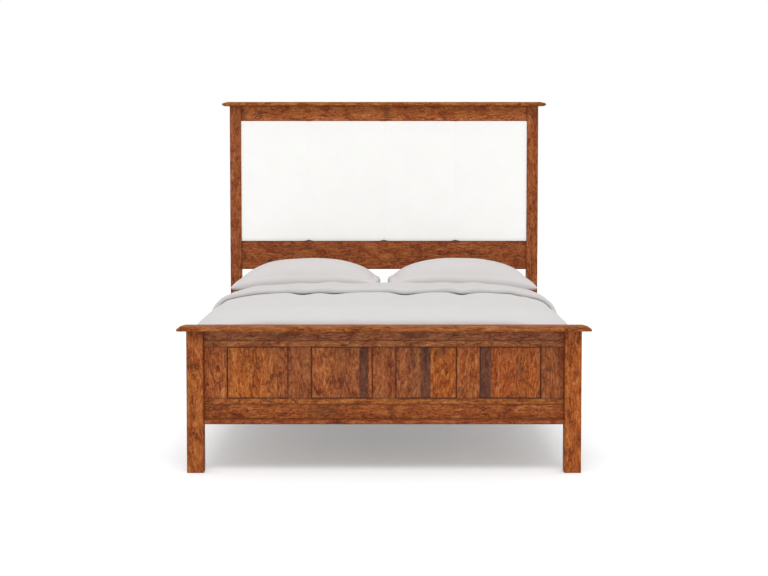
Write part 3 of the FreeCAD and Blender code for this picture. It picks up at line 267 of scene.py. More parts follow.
def stained_board(name, grain, tones, knots=(), edge=0.45, hidden=(0, 0), gloss=0.28):
    """Cherry boards, wiped with a warm brown stain and a satin lacquer.

    The eye gets an uneven orange brown with blotches and flecks, dark small marks, dark stain left in the
    joints with painted shade of the grooves and recesses there, and a soft sheen. tones is one hex colour,
    or (start in mm along X, hex) for staves.
    knots are (x, z, width, height) in mm on the face. edge darkens a rim along the board's edges, as joint
    stain and painted shade, or lightens it as wear where it is negative. hidden is how far, in mm, the
    board runs on in its neighbours at its ends and sides (X, Z). gloss is the specular level, less where a
    cap's top is rubbed dull.
    """
    settings = bpy.context.scene.panel_bed_wood
    material, tree = empty_material(f"stained_cherry_{name}")
    place = add_node(tree, "ShaderNodeTexCoord").outputs["Object"]
    # a number from the board's name, so that no two boards show the same piece of figure
    number = sum(ord(letter) * (index + 3) for index, letter in enumerate(name))
    shift = (number * 37.0 % 4000 - 2000, number * 53.0 % 3000 - 1500, number * 71.0 % 3000 - 1500)
    pith = (0.0, 45.0 + number % 5 * 12, (number % 7 - 3) * 14.0)
    from_pith = tuple(beside - moved for beside, moved in zip(pith, shift))
    grain_place = add_node(tree, "ShaderNodeMapping",
                           {"Vector": place, "Scale": IN_MILLIMETRES, "Rotation": GRAIN[grain],
                            "Location": shift})
    if isinstance(tones, str):
        tone = linear(tones)
    else:
        tone, grain_place = staves(tree, place, grain_place, name, tones)
    wood = add_node(tree, "ShaderNodeGroup", {"Vector": grain_place, "Pith": from_pith},
                    node_tree=wood_figure())
    figure = wood.outputs["Figure"]
    spread = settings.contrast
    value = add_node(tree, "ShaderNodeMapRange",
                     {"Value": figure, "To Min": 1 - spread, "To Max": 1 + spread}, clamp=False)
    hue = add_node(tree, "ShaderNodeMapRange", {"Value": figure, "To Min": 0.482, "To Max": 0.518})
    depth = add_node(tree, "ShaderNodeMapRange", {"Value": figure, "To Min": 1.106, "To Max": 0.926})
    stained = add_node(tree, "ShaderNodeHueSaturation",
                       {"Hue": hue, "Saturation": depth, "Value": value, "Color": tone})

    marks = add_node(tree, "ShaderNodeMath", {0: wood.outputs["Marks"], 1: 0.62},
                     operation="MULTIPLY")
    if knots:
        marks = knot_marks(tree, place, grain_place, knots, marks)
    rim = stain_shade_and_wear_rim(tree, place, name, hidden, abs(edge))
    # a positive edge darkens the rim with the marks' colour: stain left in the joints and painted shade of
    # the grooves and recesses beside them
    if edge > 0:
        marks = add_node(tree, "ShaderNodeMath", {0: marks, 1: rim}, operation="MAXIMUM")
    finished = add_node(tree, "ShaderNodeMix",
                        {"Factor": marks, 6: stained, 7: tuple(settings.marks_and_joint_shade_colour)},
                        data_type="RGBA").outputs[2]
    if edge < 0:
        finished = add_node(tree, "ShaderNodeMix",
                            {"Factor": rim, 6: finished, 7: tuple(settings.wear_colour)},
                            data_type="RGBA").outputs[2]
    rough = add_node(tree, "ShaderNodeMapRange",
                     {"Value": figure, "To Min": settings.roughness + 0.08,
                      "To Max": settings.roughness - 0.05})
    height = add_node(tree, "ShaderNodeMath", {0: wood.outputs["Marks"], 1: -1.0, 2: figure},
                      operation="MULTIPLY_ADD")
    bump = add_node(tree, "ShaderNodeBump", {"Strength": 0.35, "Distance": 0.4 * MM, "Height": height})
    shader = add_node(tree, "ShaderNodeBsdfPrincipled",
                      {"Base Color": finished, "Roughness": rough, "IOR": 1.45,
                       "Specular IOR Level": gloss, "Normal": bump})
    add_node(tree, "ShaderNodeOutputMaterial", {"Surface": shader})
    return material


# What boards of one kind share.
# edge above 0 paints a dark rim, stain in the joints and painted shade of the grooves and recesses; below
# 0, a light rim of wear
CAP = {"grain": "x", "gloss": 0.02, "edge": -0.12}
POST = {"grain": "z", "edge": 0.12}
STILE = {"grain": "z", "hidden": (0, 8)}
PANEL = {"grain": "z", "hidden": (8, 8), "edge": 1.0}
TENONED_RAIL = {"grain": "x", "hidden": (28, 0)}
SIDE_RAIL = {"grain": "y", "edge": 0.2, "tones": "#904920"}
# Every stained board: its kind, its tone or the tones of its staves, and the larger knots on its face.
BOARDS = {
    "footboard_cap": {**CAP, "tones": "#95562F"},
    "footboard_post_left": {**POST, "tones": "#98501F"},
    "footboard_post_right": {**POST, "tones": "#9C501C", "knots": [(803, 420, 14, 30)]},
    "footboard_top_rail_wide_board": {**TENONED_RAIL, "tones": "#9A5934",
                                      "knots": [(-430, 572, 120, 26), (130, 575, 110, 24)]},
    # painted light: this board's tone is painted lighter than its neighbours', against the shade that the
    # cap casts over the top rail
    "footboard_top_rail_narrow_board": {"grain": "x", "tones": "#A46034"},
    "footboard_end_stile_left": {**STILE, "tones": "#9A5226"},
    "footboard_end_stile_right": {**STILE, "tones": "#894822", "knots": [(690, 430, 34, 16)]},
    "footboard_middle_stile_1": {**STILE, "tones": "#894923", "knots": [(-325, 452, 36, 18)]},
    "footboard_middle_stile_2": {**STILE, "tones": "#894823", "knots": [(30, 450, 34, 18)]},
    "footboard_middle_stile_3": {**STILE, "tones": "#975125"},
    "footboard_panel_1": {**PANEL, "tones": [(-667, "#A55A24"), (-503, "#9A5426"), (-450, "#8F4D27")]},
    "footboard_panel_2": {**PANEL, "tones": [(-313, "#9A5429"), (-214, "#8A4A25"), (-104, "#5E3322"),
                                             (-66, "#9C5023")]},
    "footboard_panel_3": {**PANEL, "tones": [(40, "#94522B"), (97, "#854A28"), (155, "#623823"),
                                             (195, "#A05420")], "knots": [(240, 505, 46, 40)]},
    "footboard_panel_4": {**PANEL, "tones": [(394, "#653825"), (450, "#984B1D"), (554, "#964D1E"),
                                             (609, "#A05422")],
                          "knots": [(572, 430, 26, 60), (560, 470, 14, 34)]},
    "footboard_bottom_rail_narrow_board": {"grain": "x", "tones": "#975423"},
    "footboard_bottom_rail_wide_board": {**TENONED_RAIL, "tones": "#914B1E",
                                         "knots": [(-255, 258, 110, 50), (-610, 240, 20, 14),
                                                   (30, 262, 26, 50)]},
    "footboard_base_strip": {"grain": "x", "tones": "#924A20", "edge": 0.5},
    "headboard_cap": {**CAP, "tones": "#975A2A"},
    "headboard_post_left": {**POST, "tones": "#8E4A23", "knots": [(-790, 1330, 16, 26)]},
    "headboard_post_right": {**POST, "tones": "#8E4A21"},
    # painted light: this rail's tone is painted lighter than the posts' and the lower rail's, against the
    # shade that the cap casts on it
    "headboard_top_rail": {**TENONED_RAIL, "tones": "#A75A29",
                           "knots": [(-660, 1572, 26, 50), (10, 1575, 24, 46)]},
    "headboard_lower_rail": {**TENONED_RAIL, "tones": "#8D4921",
                             "knots": [(-410, 850, 40, 20), (55, 772, 30, 24)]},
    "headboard_stretcher": {**TENONED_RAIL, "tones": "#884620"},
    "side_rail_left": SIDE_RAIL,
    "side_rail_right": SIDE_RAIL,
}


def planed_timber(name, grain, tint, spread=0.14):
    """Sawn and planed wood without lacquer: faint streaks, no gloss. spread is how far they differ."""
    material, tree = empty_material(f"planed_timber_{name}")
    place = add_node(tree, "ShaderNodeTexCoord").outputs["Object"]
    grain_place = add_node(tree, "ShaderNodeMapping",
                           {"Vector": place, "Scale": IN_MILLIMETRES, "Rotation": GRAIN[grain]})
    wood = add_node(tree, "ShaderNodeGroup", {"Vector": grain_place, "Pith": (0.0, 70.0, 40.0)},
                    node_tree=wood_figure())
    value = add_node(tree, "ShaderNodeMapRange",
                     {"Value": wood.outputs["Figure"], "To Min": 1 - spread, "To Max": 1 + spread},
                     clamp=False)
    toned = add_node(tree, "ShaderNodeHueSaturation", {"Value": value, "Color": tuple(tint)})
    marks = add_node(tree, "ShaderNodeMath", {0: wood.outputs["Marks"], 1: 0.35},
                     operation="MULTIPLY")
    finished = add_node(tree, "ShaderNodeMix", {"Factor": marks, 6: toned, 7: linear("#6B4A2C")},
                        data_type="RGBA")
    bump = add_node(tree, "ShaderNodeBump",
                    {"Strength": 0.3, "Distance": 0.3 * MM, "Height": wood.outputs["Figure"]})
    shader = add_node(tree, "ShaderNodeBsdfPrincipled",
                      {"Base Color": finished.outputs[2], "Roughness": 0.72, "Normal": bump})
    add_node(tree, "ShaderNodeOutputMaterial", {"Surface": shader})
    return material


# ------------------------------------------------------------------ steel and cloth
def plated_steel():
    """Zinc-plated mild steel, stamped or turned: grey, slightly uneven, a broad metal shine."""
    material, tree = empty_material("zinc_plated_steel")
    place = add_node(tree, "ShaderNodeTexCoord").outputs["Object"]
    # the plating's spangle is about 4 mm across
    spangle = add_node(tree, "ShaderNodeTexNoise",
                       {"Vector": place, "Scale": 1 / (4 * MM), "Detail": 3.0})
    rough = add_node(tree, "ShaderNodeMapRange", {"Value": spangle, "To Min": 0.28, "To Max": 0.46})
    tone = add_node(tree, "ShaderNodeMix",
                    {"Factor": spangle, 6: linear("#B9BBBE"), 7: linear("#D2D3D3")}, data_type="RGBA")
    shader = add_node(tree, "ShaderNodeBsdfPrincipled",
                      {"Base Color": tone.outputs[2], "Metallic": 1.0, "Roughness": rough})
    add_node(tree, "ShaderNodeOutputMaterial", {"Surface": shader})
    return material


def woven_cloth(name, tint, thread, depth, uneven, slub, sheen):
    """Plain-woven cloth: matt, a fine square grid of threads, slightly uneven in tone.

    thread is the drawn spacing in mm, depth the bump in mm, uneven the spread of tone, and slub the
    share of thicker threads. Percale has 0.25 mm threads and linen 0.8 mm: both are drawn coarser, so
    that they show from a step away.
    """
    material, tree = empty_material(name)
    place = add_node(tree, "ShaderNodeTexCoord").outputs["Object"]
    weave = 0.0
    for direction in ("X", "Y", "Z"):
        threads = add_node(tree, "ShaderNodeTexWave",
                           {"Vector": place, "Scale": 0.314 / (thread * MM), "Distortion": 0.6,
                            "Detail": 1.0}, wave_type="BANDS", bands_direction=direction)
        weave = add_node(tree, "ShaderNodeMath", {0: threads.outputs["Fac"], 1: 0.33, 2: weave},
                         operation="MULTIPLY_ADD")
    thick_at = add_node(tree, "ShaderNodeMapping",
                        {"Vector": place, "Scale": (12.0, 12.0, 1 / (1.5 * thread * MM))})
    thick = add_node(tree, "ShaderNodeTexNoise", {"Vector": thick_at, "Scale": 1.0})
    relief = add_node(tree, "ShaderNodeMath", {0: thick, 1: slub, 2: weave},
                      operation="MULTIPLY_ADD")
    # the tone drifts over about 90 mm
    blend = 0.0
    drift = add_node(tree, "ShaderNodeTexNoise", {"Vector": place, "Scale": 1 / 0.09, "Detail": 3.0})
    for part, weight in ((drift, 0.7), (relief, 0.3)):
        blend = add_node(tree, "ShaderNodeMath", {0: part, 1: weight, 2: blend},
                         operation="MULTIPLY_ADD")
    value = add_node(tree, "ShaderNodeMapRange",
                     {"Value": blend, "From Min": 0.2, "From Max": 0.8,
                      "To Min": 1 - uneven, "To Max": 1 + uneven})
    tone = add_node(tree, "ShaderNodeHueSaturation", {"Value": value, "Color": tuple(tint)})
    bump = add_node(tree, "ShaderNodeBump",
                    {"Strength": 0.4, "Distance": depth * MM, "Height": relief})
    shader = add_node(tree, "ShaderNodeBsdfPrincipled",
                      {"Base Color": tone, "Roughness": 0.9, "Specular IOR Level": 0.25,
                       "Sheen Weight": sheen, "Sheen Roughness": 0.6, "Normal": bump})
    add_node(tree, "ShaderNodeOutputMaterial", {"Surface": shader})
    return material


def percale(name, tint):
    """Washed cotton percale."""
    return woven_cloth(name, tint, thread=1.1, depth=0.12, uneven=0.02, slub=0.3, sheen=0.08)


def give(node_names, material):
    """Puts one material on CAD nodes."""
    for name in node_names:
        for material_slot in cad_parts[name].material_slots:
            material_slot.material = material


# ------------------------------------------------------------------ making meshes
def add_object(name, data):
    """A new object at the origin, in the scene."""
    made = bpy.data.objects.new(name, data)
    bpy.context.scene.collection.objects.link(made)
    return made


def make_piece(name, points, faces, material):
    """A closed mesh with one material, doubles merged, its faces outwards and smooth."""
    mesh = bpy.data.meshes.new(name)
    mesh.from_pydata([tuple(point) for point in points], [], faces)
    mesh.validate()
    piece = add_object(name, mesh)
    work = bmesh.new()
    work.from_mesh(mesh)
    bmesh.ops.remove_doubles(work, verts=work.verts, dist=1e-6)
    bmesh.ops.recalc_face_normals(work, faces=work.faces)
    work.to_mesh(mesh)
    work.free()
    mesh.shade_smooth()
    mesh.materials.append(material)
    return piece


def faces_of_rows(rows):
    """Faces between neighbouring rows of point numbers."""
    return [[above[i], below[i], below[i + 1], above[i + 1]]
            for above, below in zip(rows, rows[1:]) for i in range(len(above) - 1)]


def faces_of_loops(loops):
    """Faces between neighbouring closed loops of point numbers."""
    return [[first[i], first[(i + 1) % len(first)], second[(i + 1) % len(first)], second[i]]
            for first, second in zip(loops, loops[1:]) for i in range(len(first))]


def seat(piece, replaced=()):
    """Lets a finished piece ride on the bed, in place of its CAD nodes."""
    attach(piece, BED)
    if replaced:
        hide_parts(*replaced)


def plain(piece):
    """Applies a piece's modifiers."""
    bpy.context.view_layer.update()
    evaluated = piece.evaluated_get(bpy.context.evaluated_depsgraph_get())
    mesh = bpy.data.meshes.new_from_object(evaluated)
    old = piece.data
    piece.modifiers.clear()
    piece.data = mesh
    bpy.data.meshes.remove(old)
    mesh.name = piece.name


def subdivide(piece):
    """Smooths a piece with a subdivision surface and makes it a plain mesh."""
    modifier = piece.modifiers.new("Smooth", "SUBSURF")
    modifier.levels = modifier.render_levels = 1
    plain(piece)


def coordinates(mesh):
    """The vertices as an array."""
    flat = np.empty(len(mesh.vertices) * 3)
    mesh.vertices.foreach_get("co", flat)
    return flat.reshape(-1, 3)


def simulate(piece, pressure, frames, slack):
    """Where a closed cloth shell's points are once pressure has filled it for some frames."""
    scene = bpy.context.scene
    modifier = piece.modifiers.new("Cloth", "CLOTH")
    cloth = modifier.settings
    cloth.quality = 4
    cloth.mass = 0.25
    cloth.tension_stiffness = 18.0
    cloth.compression_stiffness = 18.0
    cloth.shear_stiffness = 6.0
    cloth.bending_stiffness = 0.4
    cloth.shrink_min = -slack
    cloth.use_pressure = True
    cloth.uniform_pressure_force = pressure
    cloth.effector_weights.gravity = 0.0
    modifier.point_cache.frame_start = 1
    modifier.point_cache.frame_end = frames
    for number in range(1, frames + 1):
        scene.frame_set(number)
    evaluated = piece.evaluated_get(bpy.context.evaluated_depsgraph_get())
    places = coordinates(evaluated.data)
    piece.modifiers.remove(modifier)
    scene.frame_set(1)
    return places


def puff(piece, free, most, pressure, frames, slack):
    """Lets a closed cloth shell swell with cloth simulation, each point by at most a given distance.

    free is 1 where a point may move and 0 where it may not, and slack the share by which the cloth is
    cut larger than the shell. The filling keeps the cloth from sinking in.
    """
    before = coordinates(piece.data)
    moved = simulate(piece, pressure, frames, slack) - before
    normals = np.empty(len(before) * 3)
    piece.data.vertex_normals.foreach_get("vector", normals)
    normals = normals.reshape(-1, 3)
    out = (moved * normals).sum(axis=1)
    along = moved - normals * out[:, None]
    # a tenth of a move inwards stays, and a third of one along the skin
    out = np.maximum(out, 0.1 * out)
    moved = (normals * out[:, None] + along * 0.3) * free[:, None]
    length = np.linalg.norm(moved, axis=1)
    if not np.isfinite(length).all():
        raise RuntimeError(f"{piece.name}: the cloth simulation failed")
    # a soft cap: small moves stay, large ones level off
    keep = most * np.tanh(length / most) / np.maximum(length, 1e-9)
    piece.data.vertices.foreach_set("co", (before + moved * keep[:, None]).ravel())
    piece.data.update()


def stops(length, radius, spacing):
    """Places along an edge: close together in its rounded ends, even between them."""
    ends = [radius * (1 - math.cos(step * math.pi / 8)) for step in range(4)]
    count = max(1, round((length - 2 * radius) / spacing))
    middle = [radius + (length - 2 * radius) * step / count for step in range(count + 1)]
    return ends + middle + [length - place for place in reversed(ends)]


def rounded_box(low, high, radius, spacing):
    """Points and faces of a box with rounded edges, its faces divided into a grid."""
    low, high = np.array(low, float), np.array(high, float)
    marks = [np.array(stops(high[axis] - low[axis], radius, spacing)) + low[axis] for axis in range(3)]
    points, faces, known = [], [], {}

    def corner(indices):
        if indices not in known:
            point = np.array([marks[axis][indices[axis]] for axis in range(3)])
            core = np.clip(point, low + radius, high - radius)
            out = point - core
            size = np.linalg.norm(out)
            known[indices] = len(points)
            # a point of the box's skin goes to the rounding's surface above the same core point
            points.append(core + out / size * radius if size > 1e-9 else point)
        return known[indices]

    for axis in range(3):
        across, up = [other for other in range(3) if other != axis]
        for end in (0, len(marks[axis]) - 1):
            for first in range(len(marks[across]) - 1):
                for second in range(len(marks[up]) - 1):
                    around = []
                    for step_a, step_b in ((0, 0), (1, 0), (1, 1), (0, 1)):
                        indices = [0, 0, 0]
                        indices[axis] = end
                        indices[across] = first + step_a
                        indices[up] = second + step_b
                        around.append(corner(tuple(indices)))
                    faces.append(around)
    return np.array(points), faces


# ------------------------------------------------------------------ headboard upholstery
PADS = [f"headboard_upholstery_{number}" for number in (1, 2, 3, 4)]
SEAM_RUN = 27 * MM       # beside a seam, the pads' corners are drawn in over this length
SEAM_RISE = 5.5 * MM     # and by this much at the lower rail
SEAM_DROP = 1.65 * MM    # and by this much at the top rail


def upholstered_pad(name, index, material):
    """A thin foam pad under linen: flat, a little crowned, its corners drawn in beside each seam."""
    low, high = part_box(name)
    seam_left, seam_right = index > 0, index < len(PADS) - 1
    # the linen of neighbouring pads meets at the seam
    low.x -= 0.3 * MM * seam_left
    high.x += 0.3 * MM * seam_right
    seams = [low.x] * seam_left + [high.x] * seam_right
    points, faces = rounded_box(low, high, radius=0.6 * MM, spacing=9 * MM)
    for point in points:
        share_x = (point[0] - low.x) / (high.x - low.x)
        share_z = (point[2] - low.z) / (high.z - low.z)
        front = (high.y - point[1]) / (high.y - low.y)
        crown = (1 - 0.4 * (2 * share_x - 1) ** 8) * (1 - (2 * share_z - 1) ** 6)
        ripple = noise.noise(Vector((point[0] * 6, index * 3.0, point[2] * 6)))
        # the linen turns under along the rails, and runs on flat from pad to pad
        turn = 1 - between(0.0, 9 * MM, min(point[2] - low.z, high.z - point[2]))
        point[1] += front * ((1 - crown) * 1.2 * MM + ripple * 0.3 * MM + turn * 3.5 * MM)
        for seam in seams:
            near = max(0.0, 1 - abs(point[0] - seam) / SEAM_RUN)
            for edge, draw in ((low.z, SEAM_RISE), (high.z, -SEAM_DROP)):
                close = max(0.0, 1 - abs(point[2] - edge) / (3 * SEAM_RISE))
                point[2] += draw * near ** 1.3 * close
    return make_piece(f"upholstered_pad_{index + 1}", points, faces, material)


# ------------------------------------------------------------------ mattress
def fitted_mattress(material):
    """The mattress in its fitted sheet: taut on top, gathered towards the lower edge and corners."""
    low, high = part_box("mattress")
    points, faces = rounded_box(low, high, radius=34 * MM, spacing=26 * MM)
    middle, half = (low + high) / 2, (high - low) / 2
    for point in points:
        height = (point[2] - low.z) / (high.z - low.z)
        share_x, share_y = [abs(point[axis] - middle[axis]) / half[axis] for axis in (0, 1)]
        along = point[0] if share_y > share_x else point[1]
        corner = (share_x * share_y) ** 8
        gather = noise.noise(Vector((along * 16, height * 1.2, 4.0))) - 0.5
        pull = between(0.97, 1.0, max(share_x, share_y)) * (1 - height) * (1.5 + 4 * corner) * MM * gather
        soft = noise.noise(Vector((point[0] * 2.2, point[1] * 2.2, 9.0))) * 1.2 * MM
        for axis in (0, 1):
            point[axis] += pull * np.sign(point[axis] - middle[axis])
        point[2] -= max(0.0, -soft) if height > 0.9 else 0.0
    return make_piece("mattress_in_fitted_sheet", points, faces, material)


# ------------------------------------------------------------------ duvet
# Half of the duvet's outer cross-section, from its middle to its hem: X and Z in metres.
DUVET_OUTSIDE = [(0.0, 0.677), (0.30, 0.676), (0.54, 0.672), (0.62, 0.665), (0.70, 0.652),
                 (0.75, 0.639), (0.788, 0.619), (0.812, 0.590), (0.824, 0.555), (0.829, 0.50),
                 (0.832, 0.42), (0.834, 0.337)]
# What it lies on: the mattress's top and side, then the side rail's room.
DUVET_INSIDE = [(0.0, 0.5962), (0.70, 0.5962), (0.745, 0.5955), (0.7635, 0.577), (0.8045, 0.398),
                (0.8045, 0.337)]
HALF_SECTION = 1.13      # length along the half section, from which its number of points comes
TOP_PART = 0.785         # share of that length that lies on top, before it hangs
DUVET_BACK = 0.560       # Y of its edge towards the headboard
DUVET_FOOT = -0.9972     # Y of its foot end
FOOT_WALL = 7 * MM       # thickness of its foot end, behind the footboard
FOOT_TUCK = 0.055        # how far its foot end is pressed down there
FLUTE_PITCH = 0.235      # distance between the flutes down its hanging sides

# Where the turned-back fold's front edge comes forward and sags: X, way forward, drop, width in metres.
SCALLOPS = [(-0.392, 0.034, 0.013, 0.060), (-0.245, 0.028, 0.011, 0.055), (0.098, 0.032, 0.012, 0.070),
            (0.372, 0.034, 0.0145, 0.045), (-0.62, 0.02, 0.0, 0.12), (0.60, 0.02, 0.0, 0.12)]
FOLD_FRONT = 0.112       # Y of the fold's front edge, away from the scallops
FOLD_THICKNESS = 20 * MM
FOLD_HEM = 0.405         # height at which the fold ends on the duvet's hanging sides
CRESTS = (-0.410, -0.275, 0.300, 0.440)     # where the fold's back stands a little higher


def even_steps(line, count):
    """Points at even distances along a bent line, its bends eased."""
    def spread(bent, number):
        length = np.concatenate([[0], np.cumsum(np.linalg.norm(np.diff(bent, axis=0), axis=1))])
        even = np.linspace(0, length[-1], number)
        return np.column_stack([np.interp(even, length, bent[:, axis]) for axis in (0, 1)])

    dense = spread(np.array(line), 400)
    for _ in range(60):
        dense[1:-1] = (dense[:-2] + 2 * dense[1:-1] + dense[2:]) / 4
    return spread(dense, count)


def scallops(x):
    """The fold's scallops at an X: their way forward and their drop."""
    near = [math.exp(-((x - place) / width) ** 2) for place, _, _, width in SCALLOPS]
    return [sum(item[which] * share for item, share in zip(SCALLOPS, near)) for which in (1, 2)]


def crease(x, y, seed):
    """A soft ridge of 1 along a line where a slow noise passes zero, 0 elsewhere."""
    return max(0.0, 1 - abs(noise.noise(Vector((x, y, seed)))) * 4.0) ** 2


def duvet_point(side, x, z, y, hang):
    """A point of the duvet's outside at one Y; hang is 0 on top and 1 at the hem."""
    wrinkle = bpy.context.scene.panel_bed_bedding.wrinkle
    share = (y - DUVET_FOOT) / (DUVET_BACK - DUVET_FOOT)
    # a little narrower at the very foot, where it is tucked in behind the footboard
    out = x if x < 0.5 else 0.5 + (x - 0.5) * (0.93 + 0.07 * between(0.0, 0.10, share))
    # the right side lies in closer towards the foot
    if side > 0:
        out -= 15 * MM * between(0.78, 0.45, share) * between(0.5, 0.65, x) * between(0.38, 0.52, z)
    tuck = FOOT_TUCK * (1 - min(1.0, (y - DUVET_FOOT) / (3 * FOOT_TUCK))) ** 2
    z = z - tuck * (1 - between(0.25, 0.9, hang))
    top = 1 - between(0.0, 0.25, hang)
    swell = noise.noise(Vector((side * out * 4.0, y * 2.4, 1.0))) * 3.6 * MM
    swell += noise.noise(Vector((side * out * 9.0, y * 5.0, 5.0))) * 1.8 * MM
    # soft creases run from the shoulders towards the middle and the foot
    for tilt, seed in ((1.1, 11.0), (-1.4, 17.0)):
        swell += crease(side * out * 3.4 + tilt * y, y * 1.3 - side * out * 0.4, seed) * 3.2 * MM
    z += swell * top * wrinkle
    # a valley under each scallop, that fades slowly towards the foot
    ahead = FOLD_FRONT - 0.06 - y
    sag = math.exp(-(ahead / (0.22 if ahead > 0 else 0.09)) ** 2)
    z -= scallops(side * out)[1] * sag * top
    flute = math.sin(2 * math.pi * y / FLUTE_PITCH + 2.2 * noise.noise(Vector((y * 1.7, side * 5.0, 0.0))))
    flute = 0.6 * flute + noise.noise(Vector((y * 7.5, side * 3.0, z * 1.5)))
    out += (flute * 8.0 - 3.0) * MM * between(0.15, 1.0, hang) * wrinkle
    hem = noise.noise(Vector((y * 3.0, side * 7.0, 2.0))) * 5 * MM * between(0.6, 1.0, hang)
    return Vector((side * out, y, z + hem))


def duvet_grid():
    """The duvet's outside and inside as rows of points from left hem to right hem, the back row first.

    With them come the number of points in a half section, and how many of these lie on top.
    """
    spacing = bpy.context.scene.panel_bed_bedding.mesh_spacing
    half_count = round(HALF_SECTION / spacing)
    hang_from = int(TOP_PART * half_count)
    outside, inside = [even_steps(line, half_count + 1) for line in (DUVET_OUTSIDE, DUVET_INSIDE)]
    columns = [(-1, index) for index in range(half_count, 0, -1)]
    columns += [(1, index) for index in range(half_count + 1)]
    hang = [max(0.0, (index - hang_from) / (half_count - hang_from)) for index in range(half_count + 1)]
    rows = round((DUVET_BACK - DUVET_FOOT) / spacing)
    outer, inner = [], []
    for row in range(rows + 1):
        y = DUVET_BACK + (DUVET_FOOT - DUVET_BACK) * row / rows
        y_inside = DUVET_BACK + (DUVET_FOOT + FOOT_WALL - DUVET_BACK) * row / rows
        outer.append([duvet_point(side, *outside[index], y, hang[index]) for side, index in columns])
        inner.append([Vector((side * inside[index][0], y_inside, inside[index][1]))
                      for side, index in columns])
    return outer, inner, half_count, hang_from


def foot_wall(line, half_count, hang_from, y):
    """The duvet's foot end, hanging behind the footboard: rows down from the last line across.

    Each row blends the line across the top into the one between the two hems, and keeps to the
    hanging sides at its ends.
    """
    across = line[half_count - hang_from:half_count + hang_from + 1]
    left = line[half_count - hang_from::-1]
    right = line[half_count + hang_from:]
    depth = len(left) - 1
    rows = []
    for step in range(1, depth + 1):
        down = step / depth
        row = []
        for index in range(1, len(across) - 1):
            over = index / (len(across) - 1)
            point = across[index].lerp(left[-1].lerp(right[-1], over), down)
            point += (left[step] - across[0].lerp(left[-1], down)) * (1 - over)
            point += (right[step] - across[-1].lerp(right[-1], down)) * over
            point.y = y
            row.append(point)
        rows.append(row)
    return rows


def quilted_duvet(material):
    """The duvet: a thick soft shell over the mattress, hanging over the side rails."""
    outer, inner, half_count, hang_from = duvet_grid()
    first, last = half_count - hang_from, half_count + hang_from
    points, faces, rims, counts = [], [], [], []

    def store(line):
        """Keeps points and gives their numbers."""
        points.extend(line)
        return list(range(len(points) - len(line), len(points)))

    for grid, wall_y in ((outer, DUVET_FOOT), (inner, DUVET_FOOT + FOOT_WALL)):
        skin = [store(line) for line in grid]
        # each row of the wall starts and ends on the hanging sides
        wall = [skin[-1][first:last + 1]]
        for step, row in enumerate(foot_wall(grid[-1], half_count, hang_from, wall_y), start=1):
            wall.append([skin[-1][first - step], *store(row), skin[-1][last + step]])
        faces += faces_of_rows(skin) + faces_of_rows(wall)
        # the open rim: left hem from back to foot, along the foot, right hem, then the back
        rims.append([line[0] for line in skin[:-1]] + wall[-1]
                    + [line[-1] for line in reversed(skin[:-1])] + skin[0][-2:0:-1])
        counts.append(len(points))
    # the seam between the two skins, a little lower along the hem
    seam = [(points[a] + points[b]) / 2 for a, b in zip(*rims)]
    for point in seam:
        point.z -= 6 * MM if point.z < 0.45 else 0.0
    faces += faces_of_loops([rims[0], store(seam), rims[1]])
    piece = make_piece("duvet_cover", points, faces, material)
    # only the outer skin swells, and not under the turned-back fold
    free = np.array([1 - between(-0.14, 0.0, place[1]) for place in coordinates(piece.data)])
    free[counts[0]:] = 0.0
    puff(piece, free, 7 * MM, pressure=3.0, frames=14, slack=0.02)
    subdivide(piece)
    return piece


def fold_section(x, full):
    """The fold's closed section at an X: Y and height over the duvet, below, round the front, above.

    full is 1 in the middle and less at the fold's two ends.
    """
    forward, drop = scallops(x)
    front = FOLD_FRONT - forward + 10 * MM * noise.noise(Vector((x * 5, 0.0, 8.0)))
    # the front edge lies in the duvet, but stands free of it at the scallops
    lift = drop * 0.65 - 4 * MM * between(0.62, 0.45, abs(x))
    thick = FOLD_THICKNESS * full * (1 + 0.10 * noise.noise(Vector((x * 6, 3.0, 1.0))))
    thick += 5 * MM * sum(math.exp(-((x - crest) / 0.045) ** 2) for crest in CRESTS)
    roll = thick * 1.2
    back = DUVET_BACK - 2 * MM
    flat = front + roll / 2
    base = 0.5 * MM
    steps, bends = 20, 8
    section = []
    for step in range(steps + 1):
        y = back + (flat - back) * step / steps
        section.append((y, base + lift * between(0.08, 0.0, y - front)))
    for step in range(1, bends):
        turn = math.pi * step / bends
        section.append((flat - math.sin(turn) ** 0.65 * roll / 2,
                        lift + roll / 2 * (1 - math.cos(turn)) + base))
    for step in range(steps + 1):
        y = flat + (back - flat) * (step / steps) ** 1.3
        height = roll + lift + (thick - roll - lift) * between(0.0, 0.10, y - front)
        height *= 1 - 0.35 * between(DUVET_BACK - 0.05, DUVET_BACK, y)
        ripple = noise.noise(Vector((x * 5.0, y * 9.0, 3.0))) * 2.5 * MM
        ripple += crease(x * 4.0 + y * 3.0, y * 4.0, 21.0) * 2.0 * MM
        section.append((y, height + ripple * between(0.0, 0.05, y - front)))
    return section


def over_duvet(outer, column, y, height):
    """The point at a height above the duvet's outside, in one of its columns and at a Y."""
    spot = (DUVET_BACK - y) / (DUVET_BACK - DUVET_FOOT) * (len(outer) - 1)
    row = min(len(outer) - 2, max(0, int(spot)))
    line = outer[row]
    base = line[column].lerp(outer[row + 1][column], spot - row)
    across = (line[min(len(line) - 1, column + 1)] - line[max(0, column - 1)]).normalized()
    return Vector((base.x, y, base.z)) + Vector((-across.z, 0.0, across.x)) * height


